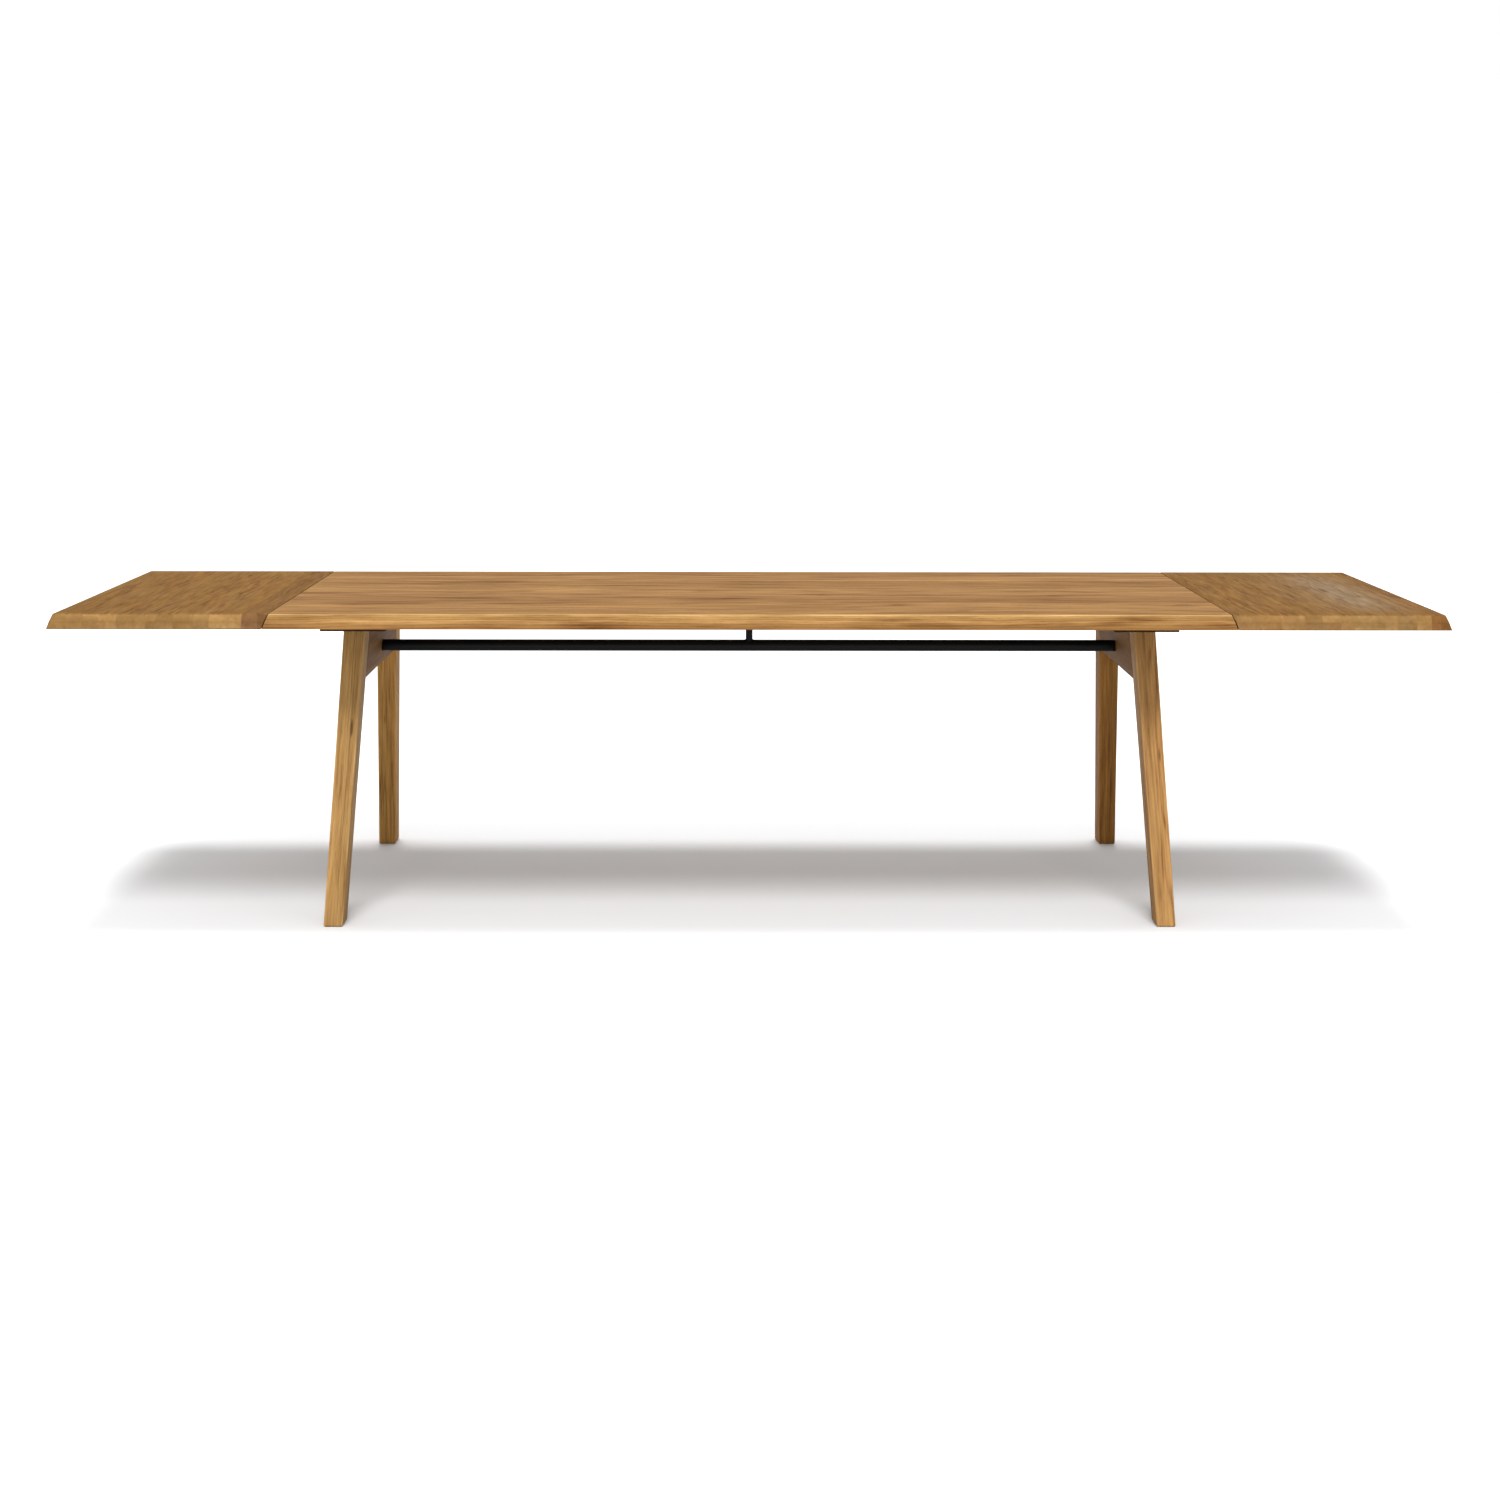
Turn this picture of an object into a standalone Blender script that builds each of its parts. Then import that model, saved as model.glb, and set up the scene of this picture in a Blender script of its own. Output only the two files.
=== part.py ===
"""Extendable dining table.

An oak top stands on two leaning A-shaped end frames tied by a steel stretcher bar.
A loose leaf carries on the top at each end.  Each leaf lies on two wooden arms that
slide out from under the top, and dowels in its inner edge key it to the top.

Axes: +X along the length, +Y to the back, +Z up.  The floor is Z = 0.
"""
import math

import bmesh
import bpy
from mathutils import Matrix
from mathutils import Vector

# ---------------------------------------------------------------- overall sizes (metres)
HEIGHT = 0.765
MAIN_LENGTH = 2.340
WIDTH = 1.000
LEAF_LENGTH = 0.515
TOP_THICKNESS = 0.036
END_SLOPE = 0.014
SIDE_SLOPE = 0.003
SIDE_CHAMFER_HEIGHT = 0.017
SIDE_CHAMFER_DEPTH = 0.011
LEAF_GAP = 0.0010

# end frames
FRAME_INSET = 0.166
LEG_WIDTH = 0.054
LEG_FOOT_WIDTH = 0.046
LEG_DEPTH = 0.075
LEG_TOP_INSET = 0.189
LEG_FOOT_INSET = 0.000
LEG_SPREAD = 0.033
RAIL_DEPTH = 0.1325
RAIL_CHAMFER_HEIGHT = 0.020
RAIL_CHAMFER_DEPTH = 0.008
BEARER_LENGTH = 0.160
BEARER_THICKNESS = 0.025
BEARER_OVERHANG = 0.034

# stretcher bar and centre post
BAR_DIAMETER = 0.030
BAR_DROP = 0.1055
POST_DIAMETER = 0.018
POST_PLATE_DIAMETER = 0.060
POST_PLATE_THICKNESS = 0.004
BOLT_DIAMETER = 0.008
BOLT_HEAD_DIAMETER = 0.013
BOLT_HEAD_HEIGHT = 0.006
BOLT_REACH = 0.030

# sliding arms and their inner guides
ARM_WIDTH = 0.040
ARM_LEG_GAP = 0.021
ARM_TIP_INSET = 0.065
ARM_TIP_CHAMFER = 0.012
ARM_TAIL = 0.332
ARM_TRAVEL_MARGIN = 0.060
ARM_RUNNING_GAP = 0.0005
STRAP_WIDTH = 0.050
STRAP_THICKNESS = 0.004
SPACER_LENGTH = 0.050
STOP_PIN_DIAMETER = 0.010
STOP_PIN_DROP = 0.010
STOP_PIN_REACH = 0.014
STOP_PIN_GAP = 0.0010

# dowels and screws
DOWEL_DIAMETER = 0.012
DOWEL_REACH = 0.028
DOWEL_INSET = 0.170
SCREW_DIAMETER = 0.005
SCREW_HEAD_DIAMETER = 0.010
SCREW_HEAD_HEIGHT = 0.003
SCREW_REACH = 0.020
FRAME_SCREW_RECESS = 0.060

# fits
GAP = 0.0003
ARRIS = 0.0015
FINE_ARRIS = 0.0006
ROUND_SIDES = 32
PIN_SIDES = 16
SAW_WASTE = 0.010

# ---------------------------------------------------------------- derived positions
UNDERSIDE = HEIGHT - TOP_THICKNESS
FRAME_TOP = UNDERSIDE - BEARER_THICKNESS
MAIN_END = MAIN_LENGTH / 2
HALF_WIDTH = WIDTH / 2
FRAME_OUTER = MAIN_END - FRAME_INSET
FRAME_CENTRE = FRAME_OUTER - LEG_WIDTH / 2
LEG_TOP_OUTER = HALF_WIDTH - LEG_TOP_INSET
LEG_FOOT_OUTER = HALF_WIDTH - LEG_FOOT_INSET
SIDE_LEAN = (LEG_FOOT_OUTER - LEG_TOP_OUTER) / FRAME_TOP
END_LEAN = LEG_SPREAD / FRAME_TOP
INNER_LEAN = (LEG_SPREAD + LEG_WIDTH - LEG_FOOT_WIDTH) / FRAME_TOP
ARM_OUTER = LEG_TOP_OUTER - LEG_DEPTH - ARM_LEG_GAP
ARM_CENTRE = ARM_OUTER - ARM_WIDTH / 2
ARM_INNER = ARM_OUTER - ARM_WIDTH
ARM_TIP = MAIN_END + LEAF_LENGTH - ARM_TIP_INSET
ARM_TAIL_END = FRAME_OUTER - ARM_TAIL
ARM_TRAVEL = LEAF_LENGTH - ARM_TRAVEL_MARGIN
BAR_HEIGHT = UNDERSIDE - BAR_DROP
RAIL_OUTER_FACE = FRAME_OUTER + END_LEAN * (FRAME_TOP - BAR_HEIGHT)
RAIL_INNER_FACE = FRAME_OUTER - LEG_WIDTH + INNER_LEAN * (FRAME_TOP - BAR_HEIGHT)
STRAP_START = ARM_TAIL_END + STOP_PIN_DIAMETER * 1.5 + STOP_PIN_GAP + 0.004
STRAP_CENTRE = STRAP_START + STRAP_WIDTH / 2
DOWEL_HEIGHT = HEIGHT - TOP_THICKNESS / 2
DOWEL_Y = HALF_WIDTH - DOWEL_INSET
FRAME_SCREW_SPREAD = ARM_INNER * 4 / 7

ENDS = (("left", -1), ("right", 1))
SIDES = (("front", -1), ("back", 1))

OAK_TOP = (0.44, 0.235, 0.095)
OAK_LEAF = (0.33, 0.165, 0.058)
OAK_LEG = (0.42, 0.225, 0.090)
OAK_INNER = (0.20, 0.100, 0.042)
BEECH = (0.55, 0.350, 0.180)
BLACK_STEEL = (0.010, 0.010, 0.011)
ZINC = (0.55, 0.560, 0.570)


def clear_scene():
    """Take every object out of the scene before the table is built."""
    for item in list(bpy.data.objects):
        bpy.data.objects.remove(item, do_unlink=True)


def new_collection(name):
    """Make a collection under the scene."""
    group = bpy.data.collections.new(name)
    bpy.context.scene.collection.children.link(group)
    return group


clear_scene()
TABLE = new_collection("extendable_dining_table")
CUTTERS = new_collection("cutters")


def finish(piece, colour, roughness, metallic):
    """Give a piece its own plain material."""
    material = bpy.data.materials.new(piece.name + "_finish")
    material.use_nodes = True
    shader = material.node_tree.nodes["Principled BSDF"]
    shader.inputs["Base Color"].default_value = (*colour, 1.0)
    shader.inputs["Roughness"].default_value = roughness
    shader.inputs["Metallic"].default_value = metallic
    piece.data.materials.append(material)
    return piece


def oak(piece, colour):
    """Oiled timber."""
    return finish(piece, colour, 0.55, 0.0)


def steel(piece, colour, roughness):
    """Lacquered or plated steel."""
    return finish(piece, colour, roughness, 1.0)


def put(bm, name, centre, group):
    """Turn a bmesh into an object standing at its own centre."""
    bmesh.ops.recalc_face_normals(bm, faces=bm.faces[:])
    mesh = bpy.data.meshes.new(name)
    bm.to_mesh(mesh)
    bm.free()
    piece = bpy.data.objects.new(name, mesh)
    piece.location = centre
    group.objects.link(piece)
    return piece


def block(name, spans):
    """Rectangular block given by its (low, high) spans along X, Y and Z."""
    centre = Vector([(low + high) / 2 for low, high in spans])
    size = Vector([high - low for low, high in spans])
    bm = bmesh.new()
    bmesh.ops.create_cube(bm, size=1.0, matrix=Matrix.Diagonal((*size, 1.0)))
    return put(bm, name, centre, TABLE)


def side_span(side, near, far):
    """Span on one side of the centre line, from its near to its far distance."""
    return (min(side * near, side * far), max(side * near, side * far))


def rod(name, radius, length, centre, along, group=TABLE, sides=ROUND_SIDES):
    """Round rod with its centre and the direction of its axis."""
    turn = Vector((0, 0, 1)).rotation_difference(Vector(along)).to_matrix().to_4x4()
    bm = bmesh.new()
    bmesh.ops.create_cone(
        bm, cap_ends=True, segments=sides, radius1=radius, radius2=radius, depth=length, matrix=turn
    )
    return put(bm, name, Vector(centre), group)


def turned(name, profile, place, along):
    """Body turned from a profile of (radius, height) points running down its outer side."""
    bm = bmesh.new()
    points = [bm.verts.new((radius, 0.0, height)) for radius, height in profile]
    for upper, lower in zip(points, points[1:]):
        bm.edges.new((upper, lower))
    mesh = bpy.data.meshes.new(name)
    bm.to_mesh(mesh)
    bm.free()
    piece = bpy.data.objects.new(name, mesh)
    TABLE.objects.link(piece)
    screw = piece.modifiers.new("turn", "SCREW")
    screw.axis = "Z"
    screw.steps = PIN_SIDES
    screw.render_steps = PIN_SIDES
    screw.use_merge_vertices = True
    screw.merge_threshold = 0.00001
    piece.rotation_mode = "QUATERNION"
    piece.rotation_quaternion = Vector((0, 0, 1)).rotation_difference(Vector(along))
    piece.location = place
    return piece


def saw(piece, point, normal):
    """Saw a piece along a plane and keep the part behind the plane's normal."""
    bm = bmesh.new()
    bm.from_mesh(piece.data)
    bmesh.ops.bisect_plane(
        bm,
        geom=bm.verts[:] + bm.edges[:] + bm.faces[:],
        plane_co=Vector(point) - piece.location,
        plane_no=Vector(normal).normalized(),
        clear_outer=True,
    )
    rim = [edge for edge in bm.edges if edge.is_boundary]
    bmesh.ops.holes_fill(bm, edges=rim, sides=0)
    bmesh.ops.recalc_face_normals(bm, faces=bm.faces[:])
    bm.to_mesh(piece.data)
    bm.free()
    return piece


def ease(piece, width, segments=1):
    """Ease the sharp arrises of a piece."""
    bevel = piece.modifiers.new("eased_arrises", "BEVEL")
    bevel.width = width
    bevel.segments = segments
    bevel.limit_method = "ANGLE"
    bevel.angle_limit = math.radians(20)
    return piece


def bore(piece, radius, start, end, sides=PIN_SIDES):
    """Bore a round hole between two points of a piece."""
    run = Vector(end) - Vector(start)
    middle = (Vector(end) + Vector(start)) / 2
    cutter = rod(piece.name + "_bore", radius, run.length, middle, run, CUTTERS, sides)
    cutter.hide_render = True
    cutter.display_type = "WIRE"
    hole = piece.modifiers.new("bore", "BOOLEAN")
    hole.operation = "DIFFERENCE"
    hole.solver = "EXACT"
    hole.object = cutter
    return piece


def frame_faces(height):
    """How far a frame's inner and outer faces stand from the middle of the table at a height."""
    drop = FRAME_TOP - height
    return (FRAME_OUTER - LEG_WIDTH + INNER_LEAN * drop, FRAME_OUTER + END_LEAN * drop)


def leaned(name, end, side, y_span, z_span):
    """Block between the two leaning faces of a frame; its Y span is measured at the frame's top."""
    middle = (z_span[0] + z_span[1]) / 2
    shift = side * SIDE_LEAN * (FRAME_TOP - middle)
    centre = Vector((end * sum(frame_faces(middle)) / 2, sum(y_span) / 2 + shift, middle))
    bm = bmesh.new()
    bmesh.ops.create_cube(bm, size=1.0)
    for corner in bm.verts:
        z = z_span[1] if corner.co.z > 0 else z_span[0]
        x = end * frame_faces(z)[1 if corner.co.x * end > 0 else 0]
        y = y_span[1 if corner.co.y > 0 else 0] + side * SIDE_LEAN * (FRAME_TOP - z)
        corner.co = Vector((x, y, z)) - centre
    return put(bm, name, centre, TABLE)


def table_slab(name, x_span):
    """Glued slab of the table top, its two long edges chamfered and widest at the underside."""
    wide_half = HALF_WIDTH + SAW_WASTE
    slab = block(name, (x_span, (-wide_half, wide_half), (UNDERSIDE, HEIGHT)))
    for side in (-1, 1):
        lower = (0, side * HALF_WIDTH, UNDERSIDE)
        upper = (0, side * (HALF_WIDTH - SIDE_SLOPE), HEIGHT - SIDE_CHAMFER_HEIGHT)
        saw(slab, lower, (0, side * (TOP_THICKNESS - SIDE_CHAMFER_HEIGHT), SIDE_SLOPE))
        saw(slab, upper, (0, side * SIDE_CHAMFER_HEIGHT, SIDE_CHAMFER_DEPTH))
    return slab


def make_main_top():
    """Main top: a slab with sloping ends, longest at the underside."""
    long_half = MAIN_END + SAW_WASTE
    top = table_slab("main_top", (-long_half, long_half))
    for side in (-1, 1):
        saw(top, (side * MAIN_END, 0, UNDERSIDE), (side * TOP_THICKNESS, 0, END_SLOPE))
    ease(top, ARRIS)
    for side in (-1, 1):
        for across in (-1, 1):
            inner = (side * (MAIN_END - DOWEL_REACH - GAP), across * DOWEL_Y, DOWEL_HEIGHT)
            outer = (side * (MAIN_END + END_SLOPE), across * DOWEL_Y, DOWEL_HEIGHT)
            bore(top, DOWEL_DIAMETER / 2 + GAP, inner, outer)
    for x, y in screw_places():
        bore(top, SCREW_DIAMETER / 2 + GAP, (x, y, UNDERSIDE - 0.01), (x, y, UNDERSIDE + SCREW_REACH + GAP))
    return oak(top, OAK_TOP)


def screw_places():
    """Where screws enter the underside of the main top."""
    places = [(side * (POST_PLATE_DIAMETER / 2 - 0.010), 0.0) for side in (-1, 1)]
    for side in (-1, 1):
        for across in (-1, 1):
            places.append((side * STRAP_CENTRE, across * (ARM_OUTER + SPACER_LENGTH / 2)))
            places.append((side * frame_screw_x(), across * FRAME_SCREW_SPREAD))
    return places


def frame_screw_x():
    """Upright line through the middle of a leaning frame rail."""
    return FRAME_CENTRE + (END_LEAN + INNER_LEAN) * RAIL_DEPTH / 4


def make_leaf(label, end):
    """Loose leaf: its inner edge is undercut to sit against the sloped end of the top."""
    inner = MAIN_END + LEAF_GAP
    outer = MAIN_END + LEAF_LENGTH
    x_span = side_span(end, inner - END_SLOPE - SAW_WASTE, outer + SAW_WASTE)
    leaf = table_slab("leaf_" + label, x_span)
    saw(leaf, (end * outer, 0, UNDERSIDE), (end * TOP_THICKNESS, 0, END_SLOPE))
    saw(leaf, (end * inner, 0, UNDERSIDE), (-end * TOP_THICKNESS, 0, -END_SLOPE))
    ease(leaf, ARRIS)
    for across in (-1, 1):
        start = (end * (inner - END_SLOPE), across * DOWEL_Y, DOWEL_HEIGHT)
        stop = (end * (inner + DOWEL_REACH + GAP), across * DOWEL_Y, DOWEL_HEIGHT)
        bore(leaf, DOWEL_DIAMETER / 2 + GAP, start, stop)
    return oak(leaf, OAK_LEAF)


def make_dowels(label, end):
    """Beech dowels standing out of the inner edge of a leaf."""
    for name, across in SIDES:
        centre = (end * (MAIN_END + LEAF_GAP / 2), across * DOWEL_Y, DOWEL_HEIGHT)
        tag = "dowel_" + label + "_" + name
        pin = rod(tag, DOWEL_DIAMETER / 2, 2 * DOWEL_REACH, centre, (1, 0, 0), sides=PIN_SIDES)
        ease(pin, FINE_ARRIS)
        oak(pin, BEECH)


def make_frame(label, end):
    """End frame: two splayed legs that taper to the floor, and the rail between them, leaning outwards."""
    for name, side in SIDES:
        y_span = side_span(side, LEG_TOP_OUTER - LEG_DEPTH, LEG_TOP_OUTER)
        leg = leaned("leg_" + name + "_" + label, end, side, y_span, (0.0, FRAME_TOP))
        ease(leg, ARRIS * 2, 2)
        oak(leg, OAK_LEG)
    reach = LEG_TOP_OUTER - LEG_DEPTH + SIDE_LEAN * RAIL_DEPTH + SAW_WASTE
    rail = leaned("frame_rail_" + label, end, 0, (-reach, reach), (FRAME_TOP - RAIL_DEPTH, FRAME_TOP))
    for side in (-1, 1):
        shoulder = (0, side * (LEG_TOP_OUTER - LEG_DEPTH - GAP), FRAME_TOP)
        saw(rail, shoulder, (0, side, SIDE_LEAN))
    chamfer_top = FRAME_TOP - RAIL_DEPTH + RAIL_CHAMFER_HEIGHT
    chamfer_start = (end * frame_faces(chamfer_top)[0], 0, chamfer_top)
    saw(rail, chamfer_start, (-end * RAIL_CHAMFER_HEIGHT, 0, -RAIL_CHAMFER_DEPTH))
    ease(rail, ARRIS / 2)
    seat = (end * (RAIL_OUTER_FACE - BOLT_HEAD_HEIGHT * 1.5), 0, BAR_HEIGHT)
    inside = (end * (RAIL_INNER_FACE - SAW_WASTE), 0, BAR_HEIGHT)
    outside = (end * (RAIL_OUTER_FACE + SAW_WASTE), 0, BAR_HEIGHT)
    bore(rail, BOLT_DIAMETER / 2 + GAP, inside, outside)
    bore(rail, BOLT_HEAD_DIAMETER / 2 + GAP, seat, outside)
    for across in (-1, 1):
        x = end * frame_screw_x()
        y = across * FRAME_SCREW_SPREAD
        bottom = FRAME_TOP - RAIL_DEPTH - 0.01
        bore(rail, SCREW_DIAMETER / 2 + GAP, (x, y, bottom), (x, y, FRAME_TOP + 0.01))
        bore(rail, SCREW_HEAD_DIAMETER / 2 + GAP, (x, y, bottom), (x, y, bottom + 0.01 + FRAME_SCREW_RECESS))
    oak(rail, OAK_INNER)


def make_bearers(label, end):
    """Three packing boards between a frame and the top; the arms slide in the gaps between them."""
    near = FRAME_CENTRE - BEARER_LENGTH / 2
    x_span = side_span(end, near, near + BEARER_LENGTH)
    z_span = (FRAME_TOP + GAP, UNDERSIDE - GAP)
    for name, side in SIDES:
        y_span = side_span(side, ARM_OUTER + ARM_RUNNING_GAP, LEG_TOP_OUTER + BEARER_OVERHANG)
        board = block("bearer_" + label + "_" + name, (x_span, y_span, z_span))
        ease(board, FINE_ARRIS)
        oak(board, OAK_INNER)
    half = ARM_INNER - ARM_RUNNING_GAP
    middle = block("bearer_" + label + "_middle", (x_span, (-half, half), z_span))
    ease(middle, FINE_ARRIS)
    for across in (-1, 1):
        x = end * frame_screw_x()
        y = across * FRAME_SCREW_SPREAD
        bore(middle, SCREW_DIAMETER / 2 + GAP, (x, y, FRAME_TOP - 0.01), (x, y, UNDERSIDE + 0.01))
    oak(middle, OAK_INNER)


def make_guide(label, end):
    """Inner guide: spacers beside the arms and a steel strap that carries their tails."""
    x_span = side_span(end, STRAP_START, STRAP_START + STRAP_WIDTH)
    z_span = (FRAME_TOP + GAP, UNDERSIDE - GAP)
    half = ARM_INNER - ARM_RUNNING_GAP
    middle = block("guide_spacer_" + label + "_middle", (x_span, (-half, half), z_span))
    ease(middle, FINE_ARRIS)
    oak(middle, OAK_INNER)
    reach = ARM_OUTER + SPACER_LENGTH
    strap = block(
        "guide_strap_" + label, (x_span, (-reach, reach), (FRAME_TOP - STRAP_THICKNESS, FRAME_TOP))
    )
    ease(strap, FINE_ARRIS)
    for name, side in SIDES:
        y_span = side_span(side, ARM_OUTER + ARM_RUNNING_GAP, reach)
        spacer = block("guide_spacer_" + label + "_" + name, (x_span, y_span, z_span))
        ease(spacer, FINE_ARRIS)
        x = end * STRAP_CENTRE
        y = side * (ARM_OUTER + SPACER_LENGTH / 2)
        bore(spacer, SCREW_DIAMETER / 2 + GAP, (x, y, FRAME_TOP - 0.01), (x, y, UNDERSIDE + 0.01))
        bore(strap, SCREW_DIAMETER / 2 + GAP, (x, y, FRAME_TOP - 0.02), (x, y, FRAME_TOP + 0.01))
        oak(spacer, OAK_INNER)
        make_screw("guide_screw_" + label + "_" + name, (x, y, FRAME_TOP - STRAP_THICKNESS - GAP))
    steel(strap, BLACK_STEEL, 0.45)


def make_screw(name, seat):
    """Pan-head screw driven upwards from its seat into the main top."""
    length = UNDERSIDE + SCREW_REACH - seat[2]
    profile = (
        (0.0, length),
        (SCREW_DIAMETER * 0.25, length),
        (SCREW_DIAMETER * 0.5, length - SCREW_DIAMETER),
        (SCREW_DIAMETER * 0.5, 0.0),
        (SCREW_HEAD_DIAMETER * 0.5, 0.0),
        (SCREW_HEAD_DIAMETER * 0.5, -SCREW_HEAD_HEIGHT * 0.5),
        (SCREW_HEAD_DIAMETER * 0.35, -SCREW_HEAD_HEIGHT),
        (0.0, -SCREW_HEAD_HEIGHT),
    )
    steel(turned(name, profile, seat, (0, 0, 1)), ZINC, 0.35)


def make_frame_screws(label, end):
    """Long screws that hold a frame to the top, with their heads recessed in the rail."""
    seat = FRAME_TOP - RAIL_DEPTH + FRAME_SCREW_RECESS - GAP
    for name, side in SIDES:
        place = (end * frame_screw_x(), side * FRAME_SCREW_SPREAD, seat)
        make_screw("frame_screw_" + label + "_" + name, place)


def make_arm(label, end, name, side):
    """Sliding arm with its two pins: an inner stop behind the strap, an outer one outside the rail."""
    x_span = side_span(end, ARM_TAIL_END, ARM_TIP)
    y_span = side_span(side, ARM_INNER, ARM_OUTER)
    z_span = (FRAME_TOP + ARM_RUNNING_GAP, UNDERSIDE - ARM_RUNNING_GAP)
    tag = label + "_" + name
    arm = block("arm_" + tag, (x_span, y_span, z_span))
    saw(arm, (end * ARM_TIP, 0, UNDERSIDE - ARM_TIP_CHAMFER), (end, 0, -1))
    ease(arm, FINE_ARRIS)
    stop_x = STRAP_START - STOP_PIN_GAP - STOP_PIN_DIAMETER / 2
    grip_x = FRAME_OUTER + ARM_TRAVEL + STOP_PIN_GAP + STOP_PIN_DIAMETER / 2
    y = side * ARM_CENTRE
    for kind, x in (("arm_stop_", stop_x), ("arm_grip_", grip_x)):
        mouth = (end * x, y, z_span[0] - 0.01)
        bore(arm, STOP_PIN_DIAMETER / 2 + GAP, mouth, (end * x, y, z_span[0] + STOP_PIN_REACH))
        height = z_span[0] + (STOP_PIN_REACH - GAP - STOP_PIN_DROP) / 2
        length = STOP_PIN_REACH - GAP + STOP_PIN_DROP
        pin = rod(kind + tag, STOP_PIN_DIAMETER / 2, length, (end * x, y, height), (0, 0, 1), sides=PIN_SIDES)
        ease(pin, FINE_ARRIS)
        oak(pin, BEECH)
    oak(arm, OAK_INNER)


def make_stretcher():
    """Round stretcher bar between the frames, its bolts, and the centre post."""
    long_length = 2 * (RAIL_INNER_FACE + SAW_WASTE)
    bar = rod("stretcher_bar", BAR_DIAMETER / 2, long_length, (0, 0, BAR_HEIGHT), (1, 0, 0))
    for side in (-1, 1):
        saw(bar, (side * (RAIL_INNER_FACE - GAP), 0, BAR_HEIGHT), (side, 0, INNER_LEAN))
    for side in (-1, 1):
        deep = (side * (RAIL_INNER_FACE - BOLT_REACH - GAP), 0, BAR_HEIGHT)
        mouth = (side * (RAIL_INNER_FACE + SAW_WASTE), 0, BAR_HEIGHT)
        bore(bar, BOLT_DIAMETER / 2 + GAP, deep, mouth)
    steel(bar, BLACK_STEEL, 0.40)
    for label, end in ENDS:
        make_bolt(label, end)
    plate_top = UNDERSIDE - GAP
    plate = rod(
        "post_plate",
        POST_PLATE_DIAMETER / 2,
        POST_PLATE_THICKNESS,
        (0, 0, plate_top - POST_PLATE_THICKNESS / 2),
        (0, 0, 1),
    )
    ease(plate, FINE_ARRIS)
    post_top = plate_top - POST_PLATE_THICKNESS - GAP
    post_foot = BAR_HEIGHT
    post = rod(
        "centre_post", POST_DIAMETER / 2, post_top - post_foot, (0, 0, (post_top + post_foot) / 2), (0, 0, 1)
    )
    bore(post, BAR_DIAMETER / 2 + GAP * 2, (-0.05, 0, BAR_HEIGHT), (0.05, 0, BAR_HEIGHT), ROUND_SIDES)
    steel(post, BLACK_STEEL, 0.40)
    for number, side in (("left", -1), ("right", 1)):
        x = side * (POST_PLATE_DIAMETER / 2 - 0.010)
        bore(plate, SCREW_DIAMETER / 2 + GAP, (x, 0, plate_top - 0.02), (x, 0, plate_top + 0.01))
        make_screw("post_screw_" + number, (x, 0, plate_top - POST_PLATE_THICKNESS - GAP))
    steel(plate, BLACK_STEEL, 0.45)


def make_bolt(label, end):
    """Cap bolt through a frame rail into the threaded end of the stretcher bar."""
    seat = RAIL_OUTER_FACE - BOLT_HEAD_HEIGHT * 1.5 + GAP
    length = seat - RAIL_INNER_FACE + BOLT_REACH
    profile = (
        (0.0, BOLT_HEAD_HEIGHT - 0.003),
        (BOLT_HEAD_DIAMETER * 0.23, BOLT_HEAD_HEIGHT - 0.003),
        (BOLT_HEAD_DIAMETER * 0.25, BOLT_HEAD_HEIGHT),
        (BOLT_HEAD_DIAMETER * 0.46, BOLT_HEAD_HEIGHT),
        (BOLT_HEAD_DIAMETER * 0.50, BOLT_HEAD_HEIGHT - 0.0005),
        (BOLT_HEAD_DIAMETER * 0.50, 0.0),
        (BOLT_DIAMETER * 0.5, 0.0),
        (BOLT_DIAMETER * 0.5, -length + 0.001),
        (BOLT_DIAMETER * 0.4, -length),
        (0.0, -length),
    )
    steel(turned("bar_bolt_" + label, profile, (end * seat, 0, BAR_HEIGHT), (end, 0, 0)), ZINC, 0.35)


make_main_top()
make_stretcher()
for end_name, end_side in ENDS:
    make_leaf(end_name, end_side)
    make_dowels(end_name, end_side)
    make_frame(end_name, end_side)
    make_bearers(end_name, end_side)
    make_guide(end_name, end_side)
    make_frame_screws(end_name, end_side)
    for side_name, side_sign in SIDES:
        make_arm(end_name, end_side, side_name, side_sign)
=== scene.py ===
"""Looks of the extendable dining table: oak boards, legs, steel stretcher, fastenings and the studio."""
import math

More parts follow.
